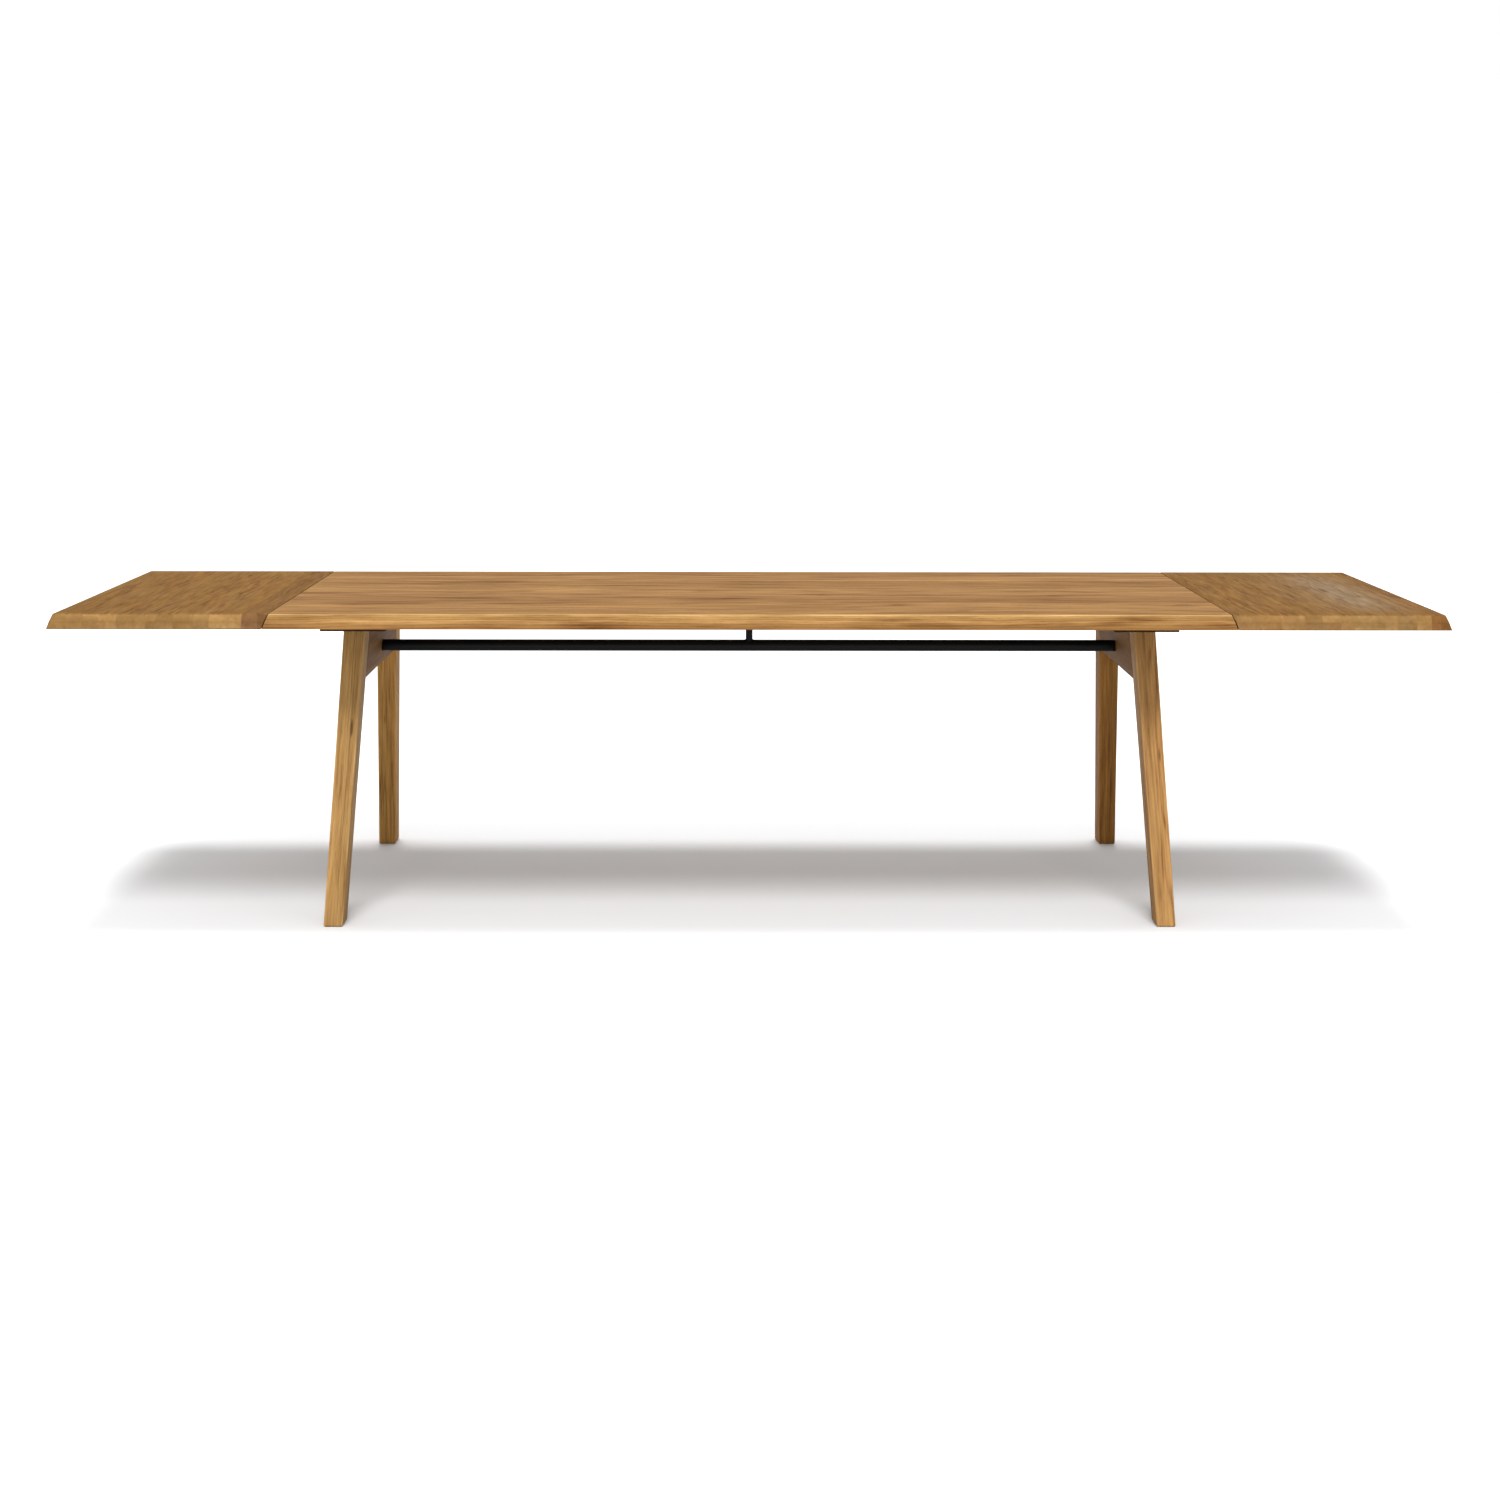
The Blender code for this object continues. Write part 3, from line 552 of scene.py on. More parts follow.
def wood_material(name, colour, log=None, angle=0.0, contrast=1.0, heart=0.7, gloss=0.56, shine=0.06,
                  end_shade=(0.90, 0.86, 0.82), fineness=(1.0, 1.0, 1.0)):
    """Oiled wood.  Boards made here carry their place in the log; frame parts use their own place.

    For a frame part, the angle lays its fibre along X and log is its place in the log.
    """
    material, tree, shader = new_material(name)
    boards = log is None
    if boards:
        fields = (("grain", "Vector"), ("tint", "Color"), ("wear_and_highlight", "Fac"), ("end", "Fac"))
        place, tint, wear_and_highlight, end = [add(tree, "ShaderNodeAttribute", attribute_name=key).outputs[field]
                                  for key, field in fields]
    else:
        place = add(tree, "ShaderNodeMapping",
                    {"Vector": object_place(tree), "Location": log, "Rotation": (0.0, 0.0, angle)}).outputs[0]
    grain = tree.nodes.new("ShaderNodeGroup")
    grain.node_tree = bpy.data.node_groups.get("oak_figure") or oak_figure()
    tree.links.new(stretch(tree, place, fineness), grain.inputs["Vector"])
    pores = grain.outputs["Pores"]

    tones = tree.nodes.new("ShaderNodeValToRGB")
    while len(tones.color_ramp.elements) < len(WOOD_TONES):
        tones.color_ramp.elements.new(0.5)
    for stop, (position, levels) in zip(tones.color_ramp.elements, WOOD_TONES):
        stop.position = position
        stop.color = tinted([1 + (level - 1) * contrast for level in levels])
    tree.links.new(grain.outputs["Tone"], tones.inputs[0])
    body = blend(tree, 1.0, tones.outputs[0], tinted(colour), "MULTIPLY")
    if boards:
        body = blend(tree, 1.0, body, tint, "MULTIPLY")
    dark = maths(tree, "MULTIPLY", grain.outputs["Heart"], heart)
    body = blend(tree, dark, body, tinted(colour, HEART_SHARE))
    body = blend(tree, maths(tree, "MULTIPLY", pores, 0.45 * contrast), body, tinted(colour, PORE_SHARE))
    apart = stretch(tree, place, (2.6, 15.0, 15.0))
    knot = add(tree, "ShaderNodeTexVoronoi", {"Vector": apart, "Scale": 1.0})
    spot = step_between(tree, knot.outputs["Distance"], 0.085, 0.045)
    body = blend(tree, maths(tree, "MULTIPLY", spot, 0.7), body, KNOT_COLOUR)
    if boards:
        # end faces: calmer figure in random blocks of tone, times end_shade; this darkens the end grain of
        # most pieces and, on the leaves, is painted light on the stave ends
        calm = blend(tree, 0.62, body, blend(tree, 1.0, tinted(colour), tint, "MULTIPLY"))
        cell = vector_maths(tree, "FLOOR", stretch(tree, place, (0.0, 23.0, 27.0)))
        block = add(tree, "ShaderNodeTexWhiteNoise", {"Vector": cell}, noise_dimensions="3D").outputs["Value"]
        level = graded(tree, block, 0.32, 0.84)
        grey = add(tree, "ShaderNodeCombineXYZ", {0: level, 1: level, 2: level}).outputs[0]
        shade = stretch(tree, grey, end_shade)
        body = blend(tree, end, body, blend(tree, 1.0, calm, shade, "MULTIPLY"))
        # arrises lightened where worn and as a painted highlight along the edges
        wear_and_highlight_amount = maths(tree, "MULTIPLY", wear_and_highlight, noise(tree, place, (9.0, 60.0, 60.0), 2.0))
        body = blend(tree, wear_and_highlight_amount, body, blend(tree, 1.0, body, tinted(WEAR_AND_HIGHLIGHT_SHARE), "MULTIPLY"))
    rough = maths(tree, "ADD", maths(tree, "MULTIPLY", pores, 0.25),
                  maths(tree, "MULTIPLY", noise(tree, place, (3.0, 24.0, 24.0), 3.0), 0.22))
    rough = maths(tree, "ADD", rough, gloss - 0.10, clamp=True)
    relief = maths(tree, "ADD", maths(tree, "MULTIPLY", grain.outputs["Rings"], -0.35),
                   maths(tree, "MULTIPLY", grain.outputs["Fibre"], 0.5))
    relief = maths(tree, "SUBTRACT", relief, pores)
    wire_shader(tree, shader, body, rough, 0.45, 0.00035, relief)
    shader.inputs["Specular IOR Level"].default_value = shine
    return material


def coat_material(name, colour):
    """Black powder coat: a fine orange-peel bump and a roughness that drifts."""
    material, tree, shader = new_material(name)
    place = object_place(tree)
    cloud = noise(tree, place, (14.0, 60.0, 60.0), 3.0)
    grit = noise(tree, place, (1400.0, 1400.0, 1400.0), 2.0)
    lift = blend(tree, maths(tree, "MULTIPLY", cloud, 0.5), tinted(colour), tinted(colour, (2.0, 2.0, 2.0)))
    wire_shader(tree, shader, lift, graded(tree, cloud, 0.16, 0.34), 0.25, 0.00012, grit)
    shader.inputs["Specular IOR Level"].default_value = 0.10
    return material


def zinc_material(name, colour):
    """Zinc plate: bright metal with cloudy dulled patches and fine turning marks."""
    material, tree, shader = new_material(name)
    place = object_place(tree)
    cloud = noise(tree, place, (420.0, 420.0, 420.0), 3.0)
    marks = noise(tree, place, (600.0, 600.0, 5200.0), 1.0)
    mix = blend(tree, cloud, tinted(colour), tinted(colour, (0.72, 0.72, 0.72)))
    wire_shader(tree, shader, mix, graded(tree, cloud, 0.24, 0.22), 0.2, 0.00006, marks)
    shader.inputs["Metallic"].default_value = 1.0
    return material


def floor_material(colour):
    """Plain matt floor with a barely seen drift of tone."""
    material, tree, shader = new_material("pale_floor")
    drift = noise(tree, object_place(tree), (0.6, 0.6, 0.6), 2.0)
    mix = blend(tree, drift, tinted(colour), tinted(colour, (0.985, 0.985, 0.985)))
    tree.links.new(mix, shader.inputs["Base Color"])
    shader.inputs["Roughness"].default_value = 0.9
    shader.inputs["Specular IOR Level"].default_value = 0.0
    return material


def finish_frame_part(node, material):
    """Gives a frame part that keeps its shape its finish."""
    slots = NODES[node].material_slots
    if not slots:
        raise RuntimeError(node + " has no material slot")
    for holder in slots:
        holder.material = material


# ---------------------------------------------------------------- the pieces
def node_points(node):
    """Corners of a frame part, one row each."""
    return np.array([corner.co for corner in NODES[node].data.vertices])


def edge_board(side, inner, place, plan, settings):
    """Corners of the front or back board at each station, and how far each is eased.

    The outer side runs from the underside out to a knee and in along a chamfer whose knee wanders
    slowly along the board.  Near the ends the outer side is drawn in by the plan rounding.
    """
    wave = wander(place, 11 if side < 0 else 23, 0.33) * settings.edge_wave
    slope = settings.edge_slope + wander(place, 5 if side < 0 else 7, 0.21) * settings.edge_wave * 0.35
    low, high = TOP_LOW[2], TOP_HIGH[2]
    outer = TOP_HIGH[1] - plan
    upper = outer - EDGE_LEAN
    across = np.broadcast_arrays(inner, side * outer, side * upper, side * (upper - slope), inner)
    height = np.broadcast_arrays(low, low, high - settings.edge_knee + wave, high, high)
    ease = (settings.board_arris, 0.0022, 0.0055, 0.0050, settings.board_arris)
    return np.stack((np.stack(across, axis=-1), np.stack(height, axis=-1)), axis=-1), ease


def slab_half_length(height):
    """Half length of the main top at a height: its ends slope out to the underside."""
    low, high = TOP_LOW[2], TOP_HIGH[2]
    return TOP_HIGH[0] - END_SLOPE * (height - low) / (high - low)


def slab_half_width(height, knee, slope):
    """Half width of a leaf at a height: nearly upright up to the knee, then running in along a chamfer."""
    low, high = LEAF_LOW[2], LEAF_HIGH[2]
    lower = np.clip((height - low) / (knee - low), 0, 1)
    upper = np.clip((height - knee) / (high - knee), 0, 1)
    return LEAF_HIGH[1] - EDGE_LEAN * lower - slope * upper


def drawn_in(height, inset, low, high):
    """Heights of a section drawn towards its middle height by the inset of each station."""
    middle = (low + high) / 2
    return middle + (height - middle) * (1 - inset[:, None] / (high - low) * 2)


class TABLE_OT_main_top(bpy.types.Operator):
    """Lay the lengthwise boards of the main top"""

    bl_idname = "dining_table.main_top"
    bl_label = "Main top"

    def execute(self, context):
        settings = context.scene.table_top
        material = wood_material("oiled_oak_top", settings.top_colour[:], contrast=1.20, heart=0.65,
                                 gloss=0.60, shine=0.015)
        z_low, z_high = TOP_LOW[2], TOP_HIGH[2]
        width = TOP_HIGH[1] - TOP_LOW[1]
        place, inset, plan = run_of_stations(TOP_HIGH[0], settings.end_arris, settings.corner_round, 75)
        share = place / TOP_HIGH[0]
        random = np.random.default_rng(41)
        shells = []
        for number, (near, far, tint) in enumerate(TOP_BOARDS):
            low = TOP_LOW[1] + near * width
            high = TOP_LOW[1] + far * width
            at_edge = number in (0, len(TOP_BOARDS) - 1)
            if at_edge:
                side, inner = (-1.0, high) if number == 0 else (1.0, low)
                corners, ease = edge_board(side, inner, place, plan, settings)
            else:
                flat = ((low, z_low), (high, z_low), (high, z_high), (low, z_high))
                corners = np.broadcast_to(np.array(flat), (len(place), 4, 2))
                ease = (settings.board_arris,) * 4
            loop, wear_and_highlight = eased_loop(corners, ease)
            height = drawn_in(loop[..., 1], inset, z_low, z_high)
            grid = np.stack((share[:, None] * slab_half_length(height), loop[..., 0], height), axis=-1)
            centre = np.array((0.0, (low + high) / 2, (z_low + z_high) / 2))
            grain = grid - centre + tree_place(random, BOARD_THICKNESS)
            paint = np.tile(np.array(tint), (loop.shape[1], 1))
            if at_edge:
                # painted light on the outer face and chamfer of an edge board, with less on its knee and
                # painted shade on its foot
                paint[5:18] *= EDGE_PAINTED_LIGHT
                paint[5:10] *= EDGE_FOOT_PAINTED_SHADE
                paint[10:15] *= EDGE_KNEE_PAINTED_SHADE
            shells.append(shell(grid, grain, paint, wear_and_highlight))
        make_piece("top_boards", shells, material, "table", "main_top")
        return {"FINISHED"}


class TABLE_OT_leaves(bpy.types.Operator):
    """Lay the crosswise staves of the two leaves"""

    bl_idname = "dining_table.leaves"
    bl_label = "Leaves"

    def execute(self, context):
        settings = context.scene.table_top
        # the leaves' end faces are painted much lighter and greyer than their tops: painted light where the
        # front light falls on the stave ends
        material = wood_material("oiled_oak_leaf", settings.leaf_colour[:], contrast=0.95, heart=0.35,
                                 gloss=0.60, shine=0.015, end_shade=(1.28, 1.46, 2.15),
                                 fineness=(2.2, 2.3, 2.3))
        for label, end in ENDS:
            make_leaf(label, end, material, settings)
        return {"FINISHED"}


def make_leaf(label, end, material, settings):
    """Leaf: six-cornered staves side by side, each a straight run across the table between sloped edges."""
    z_low, z_high = LEAF_LOW[2], LEAF_HIGH[2]
    middle = (z_low + z_high) / 2
    outer_foot, inner_head = LEAF_HIGH[0], LEAF_LOW[0]
    staves = LEFT_STAVES if end < 0 else RIGHT_STAVES
    widths = np.array([width for width, tint in staves])
    bounds = np.concatenate(((0.0,), np.cumsum(widths) / widths.sum()))
    low_line = outer_foot + (inner_head + END_SLOPE - outer_foot) * bounds
    high_line = low_line.copy()
    high_line[0] = outer_foot - END_SLOPE
    high_line[-1] = inner_head
    random = np.random.default_rng(67 if end < 0 else 71)
    place, inset, plan = run_of_stations(LEAF_HIGH[1], settings.leaf_arris, 0.004, 36)
    rim = (inset > 0) & (np.abs(place) < LEAF_HIGH[1] - 1e-6)
    knee = z_high - settings.edge_knee
    rise = (knee - z_low) / (z_high - z_low)
    shells = []
    for number, (width, tint) in enumerate(staves):
        a, b = low_line[number:number + 2]
        c, d = high_line[number:number + 2]
        corners = np.array(((end * a, z_low), (end * b, z_low), (end * (b + (d - b) * rise), knee),
                            (end * d, z_high), (end * c, z_high), (end * (a + (c - a) * rise), knee)))
        first = number == 0
        fine = settings.board_arris
        inner = 0.0012 if number == len(staves) - 1 else fine
        ease = (0.0016 if first else fine, inner, 0.0004, inner, 0.0026 if first else fine, 0.0004)
        loop, wear_and_highlight = eased_loop(np.broadcast_to(corners, (len(place), 6, 2)), ease)
        # wear and painted highlight: none on the knees, full round the upper arrises of a stave's two ends,
        # painting a light line along the top of the end faces
        wear_and_highlight = wear_and_highlight.copy()
        wear_and_highlight[:, 10:15] = wear_and_highlight[:, 25:30] = 0.0
        wear_and_highlight[rim, 15:25] = 1.0
        height = drawn_in(loop[..., 1], inset, z_low, z_high)
        outermost = np.abs(loop[..., 0]) > outer_foot - END_SLOPE * 1.3
        across = loop[..., 0] - end * plan[:, None] * (outermost & first)
        half = slab_half_width(height, knee, settings.edge_slope)
        grid = np.stack((across, place[:, None] / LEAF_HIGH[1] * half, height), axis=-1)
        centre = np.array((0.0, end * (a + b) / 2, middle))
        grain = grid[..., (1, 0, 2)] - centre + tree_place(random, BOARD_THICKNESS)
        paint = np.tile(1 + (np.array(tint) - 1) * UPPER_TONE, grid.shape[:2] + (1,))
        paint[[0, -1]] = tint
        # painted reflection: a lighter, greyer patch on the upper faces of the right leaf's staves
        if end > 0:
            beside = (np.abs(across) - PAINTED_SHEEN_X) / PAINTED_SHEEN_LENGTH
            cloud = np.exp(-(beside**2) - (grid[..., 1] / PAINTED_SHEEN_WIDTH) ** 4)
            upper = np.isin(np.arange(loop.shape[1]), np.arange(15, 25)) * (np.abs(place) < 0.497)[:, None]
            paint *= 1 + (cloud * upper)[..., None] * (np.array(settings.painted_sheen) - 1)
        shells.append(shell(grid, grain, paint, wear_and_highlight, (12, 27)))
    make_piece("leaf_boards_" + label, shells, material, "leaf_" + label, "leaf_" + label, 22.0)


class TABLE_OT_legs(bpy.types.Operator):
    """Shape the four splayed legs, each glued up from two laths"""

    bl_idname = "dining_table.legs"
    bl_label = "Legs"

    def execute(self, context):
        settings = context.scene.table_frame
        material = wood_material("oiled_oak_leg", settings.leg_colour[:], contrast=1.15, heart=0.60,
                                 gloss=0.58, shine=0.05, fineness=(1.6, 3.2, 3.2))
        random = np.random.default_rng(19)
        for label, end in ENDS:
            for name, side in SIDES:
                make_leg("leg_" + name + "_" + label, random, material, settings)
        return {"FINISHED"}


def make_leg(node, random, material, settings):
    """Leg: two eased laths carried in a straight line from the foot to the head of the frame part."""
    points = node_points(node)
    z_foot, z_head = points[:, 2].min(), points[:, 2].max()
    top = points[points[:, 2] > z_head - 0.006]
    foot = points[points[:, 2] < z_foot + 0.006]
    ease = settings.foot_ease
    full = (z_head - z_foot) / ease
    climb = np.concatenate(((0.0, 0.3, 0.62, 1.0), np.linspace(1.5, full - 0.6, 40), (full,)))
    height = z_foot + climb * ease
    share = (height - z_foot) / (z_head - z_foot)
    narrow = ease * 0.85 * np.clip(1 - climb, 0, 1) ** 1.6

    def side_line(pick, axis):
        start, stop = pick(foot[:, axis]), pick(top[:, axis])
        return start + (stop - start) * share

    x_low, x_high = side_line(np.min, 0), side_line(np.max, 0)
    y_low, y_high = side_line(np.min, 1), side_line(np.max, 1)
    split = 0.5 + 0.05 * random.uniform(-1, 1)
    middle = x_low + (x_high - x_low) * split
    length = math.hypot(z_head - z_foot, y_low[-1] - y_low[0])
    tones = random.permutation(((1.04, 1.03, 1.02), (0.95, 0.95, 0.95)))
    near, far = y_low + narrow, y_high - narrow
    wide, fine = settings.leg_arris, LATH_ARRIS
    centre = np.stack(((x_low + x_high) / 2, (y_low + y_high) / 2), axis=-1)[:, None]
    laths = (
        (x_low + narrow, middle, (wide, fine, fine, wide)),
        (middle, x_high - narrow, (fine, wide, wide, fine)),
    )
    shells = []
    for tone, (a, b, eased) in zip(tones, laths):
        corners = np.stack((np.stack((a, b, b, a), -1), np.stack((near, near, far, far), -1)), axis=-1)
        loop, wear_and_highlight = eased_loop(corners, eased, 6)
        upright, lengthwise = [np.broadcast_to(run[:, None, None], loop.shape[:2] + (1,))
                               for run in (height, share * length)]
        grid = np.concatenate((loop, upright), axis=-1)
        grain = np.concatenate((lengthwise, loop - centre), axis=-1) + tree_place(random, 0.03)
        shells.append(shell(grid, grain, tone * np.array(LEG_TONES[node]), wear_and_highlight))
    make_piece("shaped_" + node, shells, material, "table", node)


class TABLE_OT_inner_wood(bpy.types.Operator):
    """Finish the rails, bearers, spacers and sliding arms under the top"""

    bl_idname = "dining_table.inner_wood"
    bl_label = "Rails, bearers and arms"

    def execute(self, context):
        settings = context.scene.table_frame
        crosswise = math.pi / 2
        random = np.random.default_rng(83)
        groups = (
            ("frame_rail_", crosswise, 1.0),
            # the bearers are painted at about a quarter of the inner wood colour: painted shade for the dark
            # strip they show under the edge of the top
            ("bearer_", crosswise, 0.26),
            ("guide_spacer_", crosswise, 1.0),
            ("arm_left_", 0.0, 1.12),
            ("arm_right_", 0.0, 1.12),
        )
        for start, angle, tone in groups:
            turn = np.array(Matrix.Rotation(angle, 3, "Z"))
            for node in sorted(name for name in NODES if name.startswith(start)):
                low, high = node_box(node)
                log = tree_place(random, 0.02) - turn @ ((low + high) / 2)
                colour = tuple(level * tone for level in settings.inner_colour)
                material = wood_material("oak_" + node, colour, tuple(log), angle, contrast=0.9, heart=0.5,
                                         gloss=0.60, shine=0.03)
                finish_frame_part(node, material)
        return {"FINISHED"}


class TABLE_OT_stretcher(bpy.types.Operator):
    """Shape the round stretcher bar, the centre post with its weld and the plate, and coat the guide straps
    """

    bl_idname = "dining_table.stretcher"
    bl_label = "Stretcher"

    def execute(self, context):
        settings = context.scene.table_steel
        coat = coat_material("black_powder_coat", settings.black[:])
        make_bar(coat)
        make_post(coat, settings.weld)
        make_plate(coat)
        for label, end in ENDS:
            finish_frame_part("guide_strap_" + label, coat)
        return {"FINISHED"}


def plain_shell(grid, ring=False):
    """Shell of a piece that isn't wood."""
    return shell(grid, grid, (1.0, 1.0, 1.0), 0.0, ring=ring)


def make_bar(coat):
    """Bar: circle carried along X, its ends cut to lean with the rails: x = reach * u - lean * (z - axis)."""
    points = node_points("stretcher_bar")
    high_rim = points[points[:, 2] > BAR_AXIS + BAR_RADIUS * 0.9][:, 0].max()
    lean = (BAR_HIGH[0] - high_rim) / (2 * BAR_RADIUS)
    reach = BAR_HIGH[0] - lean * BAR_RADIUS
    eased = BAR_RIM * np.array((0.0, 0.3, 1.0))
    place = np.concatenate((eased - reach, np.linspace(-0.93, 0.93, 48), reach - eased[::-1]))
    size = BAR_RADIUS - np.concatenate((eased[::-1], np.zeros(48), eased))[:, None]
    angle = full_turn(72)
    rise = size * np.sin(angle)
    along = place[:, None] - np.sign(place)[:, None] * lean * rise
    grid = np.stack((along, size * np.cos(angle), BAR_AXIS + rise), axis=-1)
    make_piece("round_bar", [plain_shell(grid)], coat, "table", "stretcher_bar")


def make_post(coat, weld):
    """Post: circle carried down to the bar, where it ends on the saddle z = axis + sqrt(R^2 - y^2).

    The weld bead is a small circle carried round that saddle, its size rippling with the angle.
    """
    radius = (POST_HIGH[0] - POST_LOW[0]) / 2
    angle = full_turn(72)
    saddle = BAR_AXIS + np.sqrt((BAR_RADIUS + 0.0002) ** 2 - (radius * np.sin(angle)) ** 2)
    share = np.linspace(0.0, 1.0, 10)[:, None]
    height = saddle * (1 - share) + POST_HIGH[2] * share
    tube = np.broadcast_arrays(radius * np.cos(angle), radius * np.sin(angle), height)
    grid = np.stack(tube, axis=-1)
    ripple = weld * (1 + 0.16 * np.sin(angle * 26))
    turn = full_turn(12)[:, None]
    out = radius + ripple * np.cos(turn)
    lift = saddle + ripple * np.sin(turn) * 0.9
    bead = np.stack((out * np.cos(angle), out * np.sin(angle), lift), axis=-1).transpose(1, 0, 2)
    shells = [plain_shell(grid), plain_shell(bead, ring=True)]
    make_piece("welded_post", shells, coat, "table", "centre_post")


def make_plate(coat):
    """Plate: a disc turned from its edge profile, with eased rims."""
    radius = (PLATE_HIGH[0] - PLATE_LOW[0]) / 2
    low, high = PLATE_LOW[2], PLATE_HIGH[2]
    rim = PLATE_RIM
    rows = ((radius - rim, low), (radius - rim * 0.3, low + rim * 0.3), (radius, low + rim),
            (radius, high - rim), (radius - rim * 0.3, high - rim * 0.3), (radius - rim, high))
    disc = plain_shell(turned_grid(rows, 96))
    make_piece("turned_plate", [disc], coat, "table", "post_plate")


class TABLE_OT_fastenings(bpy.types.Operator):
    """Turn the bolts, screws, dowels and pins"""

    bl_idname = "dining_table.fastenings"
    bl_label = "Bolts, screws, dowels and pins"

    def execute(self, context):
        steel = context.scene.table_steel
        wood = context.scene.table_frame
        zinc = zinc_material("bright_zinc", steel.zinc[:])
        beech = wood_material("turned_beech", wood.pin_colour[:], contrast=0.45, heart=0.0, gloss=0.52)
        for label, end in ENDS:
            make_bolt("bar_bolt_" + label, end, zinc)
            make_screw("post_screw_" + label, zinc)
            for name, side in SIDES:
                tag = label + "_" + name
                for start in ("guide_screw_", "frame_screw_"):
                    make_screw(start + tag, zinc)
                for start in ("arm_stop_", "arm_grip_"):
                    make_pin(start + tag, 2, "arm_" + tag, beech, 0.0)
                make_pin("dowel_" + tag, 0, "leaf_" + label, beech, FLUTE_DEPTH)
        return {"FINISHED"}


def make_bolt(node, end, zinc):
    """Cap bolt: turned shank and head, with a hexagonal socket let into the head.

    The socket's rim stands at its radius / cos of the angle from the middle of the nearest side.
    """
    low, high = node_box(node)
    radius = (high[2] - low[2]) / 2
    length = high[0] - low[0]
    shank, head = BOLT_SHANK, BOLT_HEAD
    rows = ((shank * 0.8, head - length), (shank, head + 0.0008 - length), (shank, -0.0003), (shank, 0.0),
            (radius - 0.0003, 0.0), (radius, 0.0003), (radius, head - 0.0008),
            (radius - 0.0003, head - 0.0004), (radius - 0.0008, head), (0.0032, head),
            (0.0029, head - 0.0003), (0.0028, head / 2))

    def socket(angle):
        return 1 / np.cos(np.mod(angle, math.pi / 3) - math.pi / 6)

    place = (low + high) / 2
    place[0] = (high[0] if end > 0 else low[0]) - end * head
    grid = stand(turned_grid(rows, 72, socket), place, (end, 0.0, 0.0))
    make_piece("cap_" + node, [plain_shell(grid)], zinc, "table", node, 30.0)


def make_screw(node, zinc):
    """Pan-head screw, its head down: a domed head with a six-lobed recess, r = a * (1 + b cos 6 angle)."""
    low, high = node_box(node)
    total = high[2] - low[2]
    head, thick, shank = SCREW_HEAD, SCREW_HEAD_HEIGHT, SCREW_SHANK
    rows = ((0.0006, total - 0.0001), (shank * 0.55, total - 0.0016), (shank, total - 0.0050),
            (shank, thick + 0.0001), (head - 0.0002, thick), (head, thick - 0.0003),
            (head * 0.97, thick * 0.52), (head * 0.86, thick * 0.22), (head * 0.66, thick * 0.04),
            (0.0026, 0.0), (0.0022, 0.0002), (0.0020, 0.0014))

    def lobes(angle):
        return 1 + 0.13 * np.cos(6 * angle)

    place = (low + high) / 2
    place[2] = low[2]
    grid = turned_grid(rows, 48, lobes) + place
    make_piece("turned_" + node, [plain_shell(grid)], zinc, "table", node, 32.0)


def make_pin(node, axis, body, beech, flute):
    """Round pin or dowel with eased ends along X (axis 0) or Z (axis 2); a dowel has shallow flutes."""
    low, high = node_box(node)
    length = high[axis] - low[axis]
    radius = (high[1] - low[1]) / 2
    ease = PIN_EASE
    rows = ((radius - ease, 0.0), (radius - ease * 0.3, ease * 0.35), (radius, ease * 1.1),
            (radius, length * 0.5), (radius, length - ease * 1.1),
            (radius - ease * 0.3, length - ease * 0.35), (radius - ease, length))
    grid = turned_grid(rows, 96, flute=flute)
    start = (low + high) / 2
    start[axis] = low[axis]
    heart = np.array((low[0] * 7, 0.03, low[1] * 0.2 + 0.05))
    placed = stand(grid, start, np.eye(3)[axis])
    make_piece("turned_" + node, [shell(placed, grid[..., (2, 0, 1)] + heart, (1.0, 1.0, 1.0), 0.0)], beech,
               body, node)


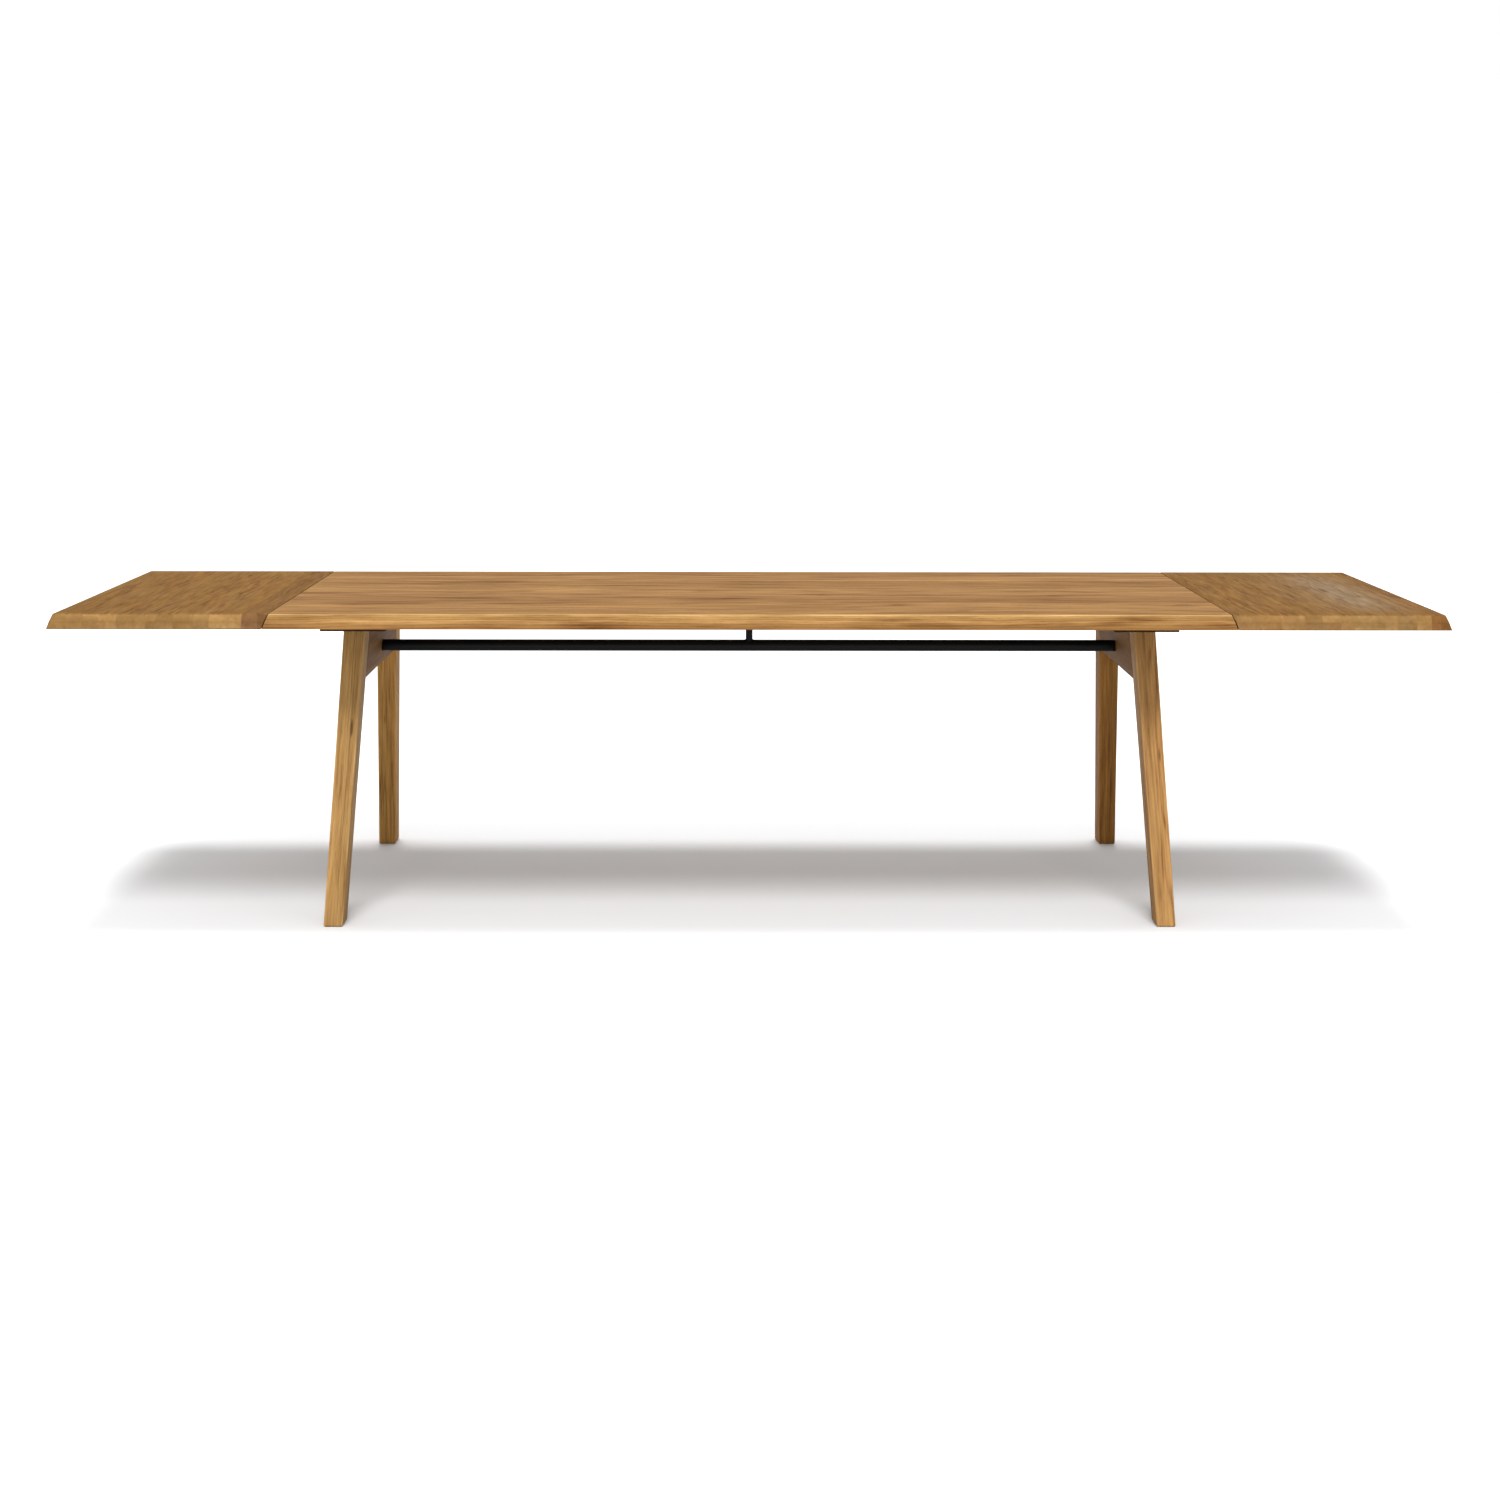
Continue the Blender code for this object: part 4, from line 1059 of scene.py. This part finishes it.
class TABLE_OT_studio(bpy.types.Operator):
    """Set up the floor, the soft light and the camera"""

    bl_idname = "dining_table.studio"
    bl_label = "Studio"

    def execute(self, context):
        settings = context.scene.table_studio
        scene = context.scene
        floor = bpy.data.meshes.new("floor")
        span = np.linspace(-FLOOR_REACH, FLOOR_REACH, 9)
        across, along = np.meshgrid(span, span)
        points = np.stack((across, along, np.zeros_like(across)), axis=-1).reshape(-1, 3)
        index = np.arange(81).reshape(9, 9)
        quads = np.stack((index[:-1, :-1], index[:-1, 1:], index[1:, 1:], index[1:, :-1]), axis=-1)
        floor.from_pydata(points.tolist(), [], quads.reshape(-1, 4).tolist())
        floor.materials.append(floor_material(settings.floor_colour[:]))
        ground = bpy.data.objects.new("floor", floor)
        scene.collection.objects.link(ground)
        ground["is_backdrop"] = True

        world = bpy.data.worlds.new("studio")
        scene.world = world
        world.use_nodes = True
        surround = world.node_tree.nodes["Background"]
        surround.inputs["Strength"].default_value = settings.surround
        surround.inputs["Color"].default_value = (1.0, 1.0, 1.0, 1.0)

        table_only = bpy.data.collections.new("lit_by_table_light")
        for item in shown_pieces():
            table_only.objects.link(item)
        floor_only = bpy.data.collections.new("lit_by_floor_lights")
        floor_only.objects.link(ground)
        add_sun(scene, "table_light", settings.table_light, 0.30, -0.47, table_only)
        add_sun(scene, "floor_light_above", settings.floor_above, 0.27, 0.13, floor_only)
        add_sun(scene, "floor_light_front", settings.floor_front, 0.38, -0.50, floor_only)
        add_sun(scene, "floor_light_low", settings.floor_low, 0.60, -1.05, floor_only)

        camera = bpy.data.cameras.new("camera")
        camera.lens = settings.lens
        camera.sensor_width = 36.0
        camera.shift_y = -0.0867
        camera.clip_start = 0.05
        camera.clip_end = 200.0
        holder = bpy.data.objects.new("camera", camera)
        scene.collection.objects.link(holder)
        pose = Matrix.Translation(CAMERA_PLACE)
        for degrees, axis in CAMERA_TURNS:
            pose = pose @ Matrix.Rotation(math.radians(degrees), 4, axis)
        holder.matrix_world = pose
        scene.camera = holder
        scene.view_settings.view_transform = "Standard"
        scene.view_settings.look = "None"
        return {"FINISHED"}


def add_sun(scene, name, strength, spread, lean, lit):
    """Broad far light from above, leaning to the front by an angle below zero, for some pieces alone."""
    light = bpy.data.lights.new(name, "SUN")
    light.energy = strength
    light.angle = spread
    holder = bpy.data.objects.new(name, light)
    scene.collection.objects.link(holder)
    holder.matrix_world = Matrix.Translation((0.0, 0.0, 4.0)) @ Matrix.Rotation(-lean, 4, "X")
    holder.light_linking.receiver_collection = lit


class TABLE_PT_sidebar(bpy.types.Panel):
    """Lists the steps that build the table and the settings they use"""

    bl_idname = "TABLE_PT_sidebar"
    bl_label = "Dining table"
    bl_space_type = "VIEW_3D"
    bl_region_type = "UI"
    bl_category = "Dining table"

    def draw(self, context):
        for step in STEPS:
            self.layout.operator(step.bl_idname)
        for group in ("table_top", "table_frame", "table_steel", "table_studio"):
            settings = getattr(context.scene, group)
            box = self.layout.box()
            for key in settings.bl_rna.properties.keys():
                if key not in ("rna_type", "name"):
                    box.prop(settings, key)


SETTINGS = (
    ("table_top", TopSettings),
    ("table_frame", FrameSettings),
    ("table_steel", SteelSettings),
    ("table_studio", StudioSettings),
)
STEPS = (
    TABLE_OT_main_top,
    TABLE_OT_leaves,
    TABLE_OT_legs,
    TABLE_OT_inner_wood,
    TABLE_OT_stretcher,
    TABLE_OT_fastenings,
    TABLE_OT_studio,
)


def register():
    """Registers the settings, the operators and the panel."""
    for name, kind in SETTINGS:
        bpy.utils.register_class(kind)
        setattr(bpy.types.Scene, name, PointerProperty(type=kind))
    for kind in STEPS + (TABLE_PT_sidebar,):
        bpy.utils.register_class(kind)


def unregister():
    """Takes the panel, the operators and the settings out again."""
    for kind in reversed(STEPS + (TABLE_PT_sidebar,)):
        bpy.utils.unregister_class(kind)
    for name, kind in reversed(SETTINGS):
        delattr(bpy.types.Scene, name)
        bpy.utils.unregister_class(kind)


def main():
    """Builds everything in order."""
    register()
    bpy.ops.dining_table.main_top()
    bpy.ops.dining_table.leaves()
    bpy.ops.dining_table.legs()
    bpy.ops.dining_table.inner_wood()
    bpy.ops.dining_table.stretcher()
    bpy.ops.dining_table.fastenings()
    bpy.ops.dining_table.studio()
    bpy.context.view_layer.update()


if __name__ == "__main__":
    main()
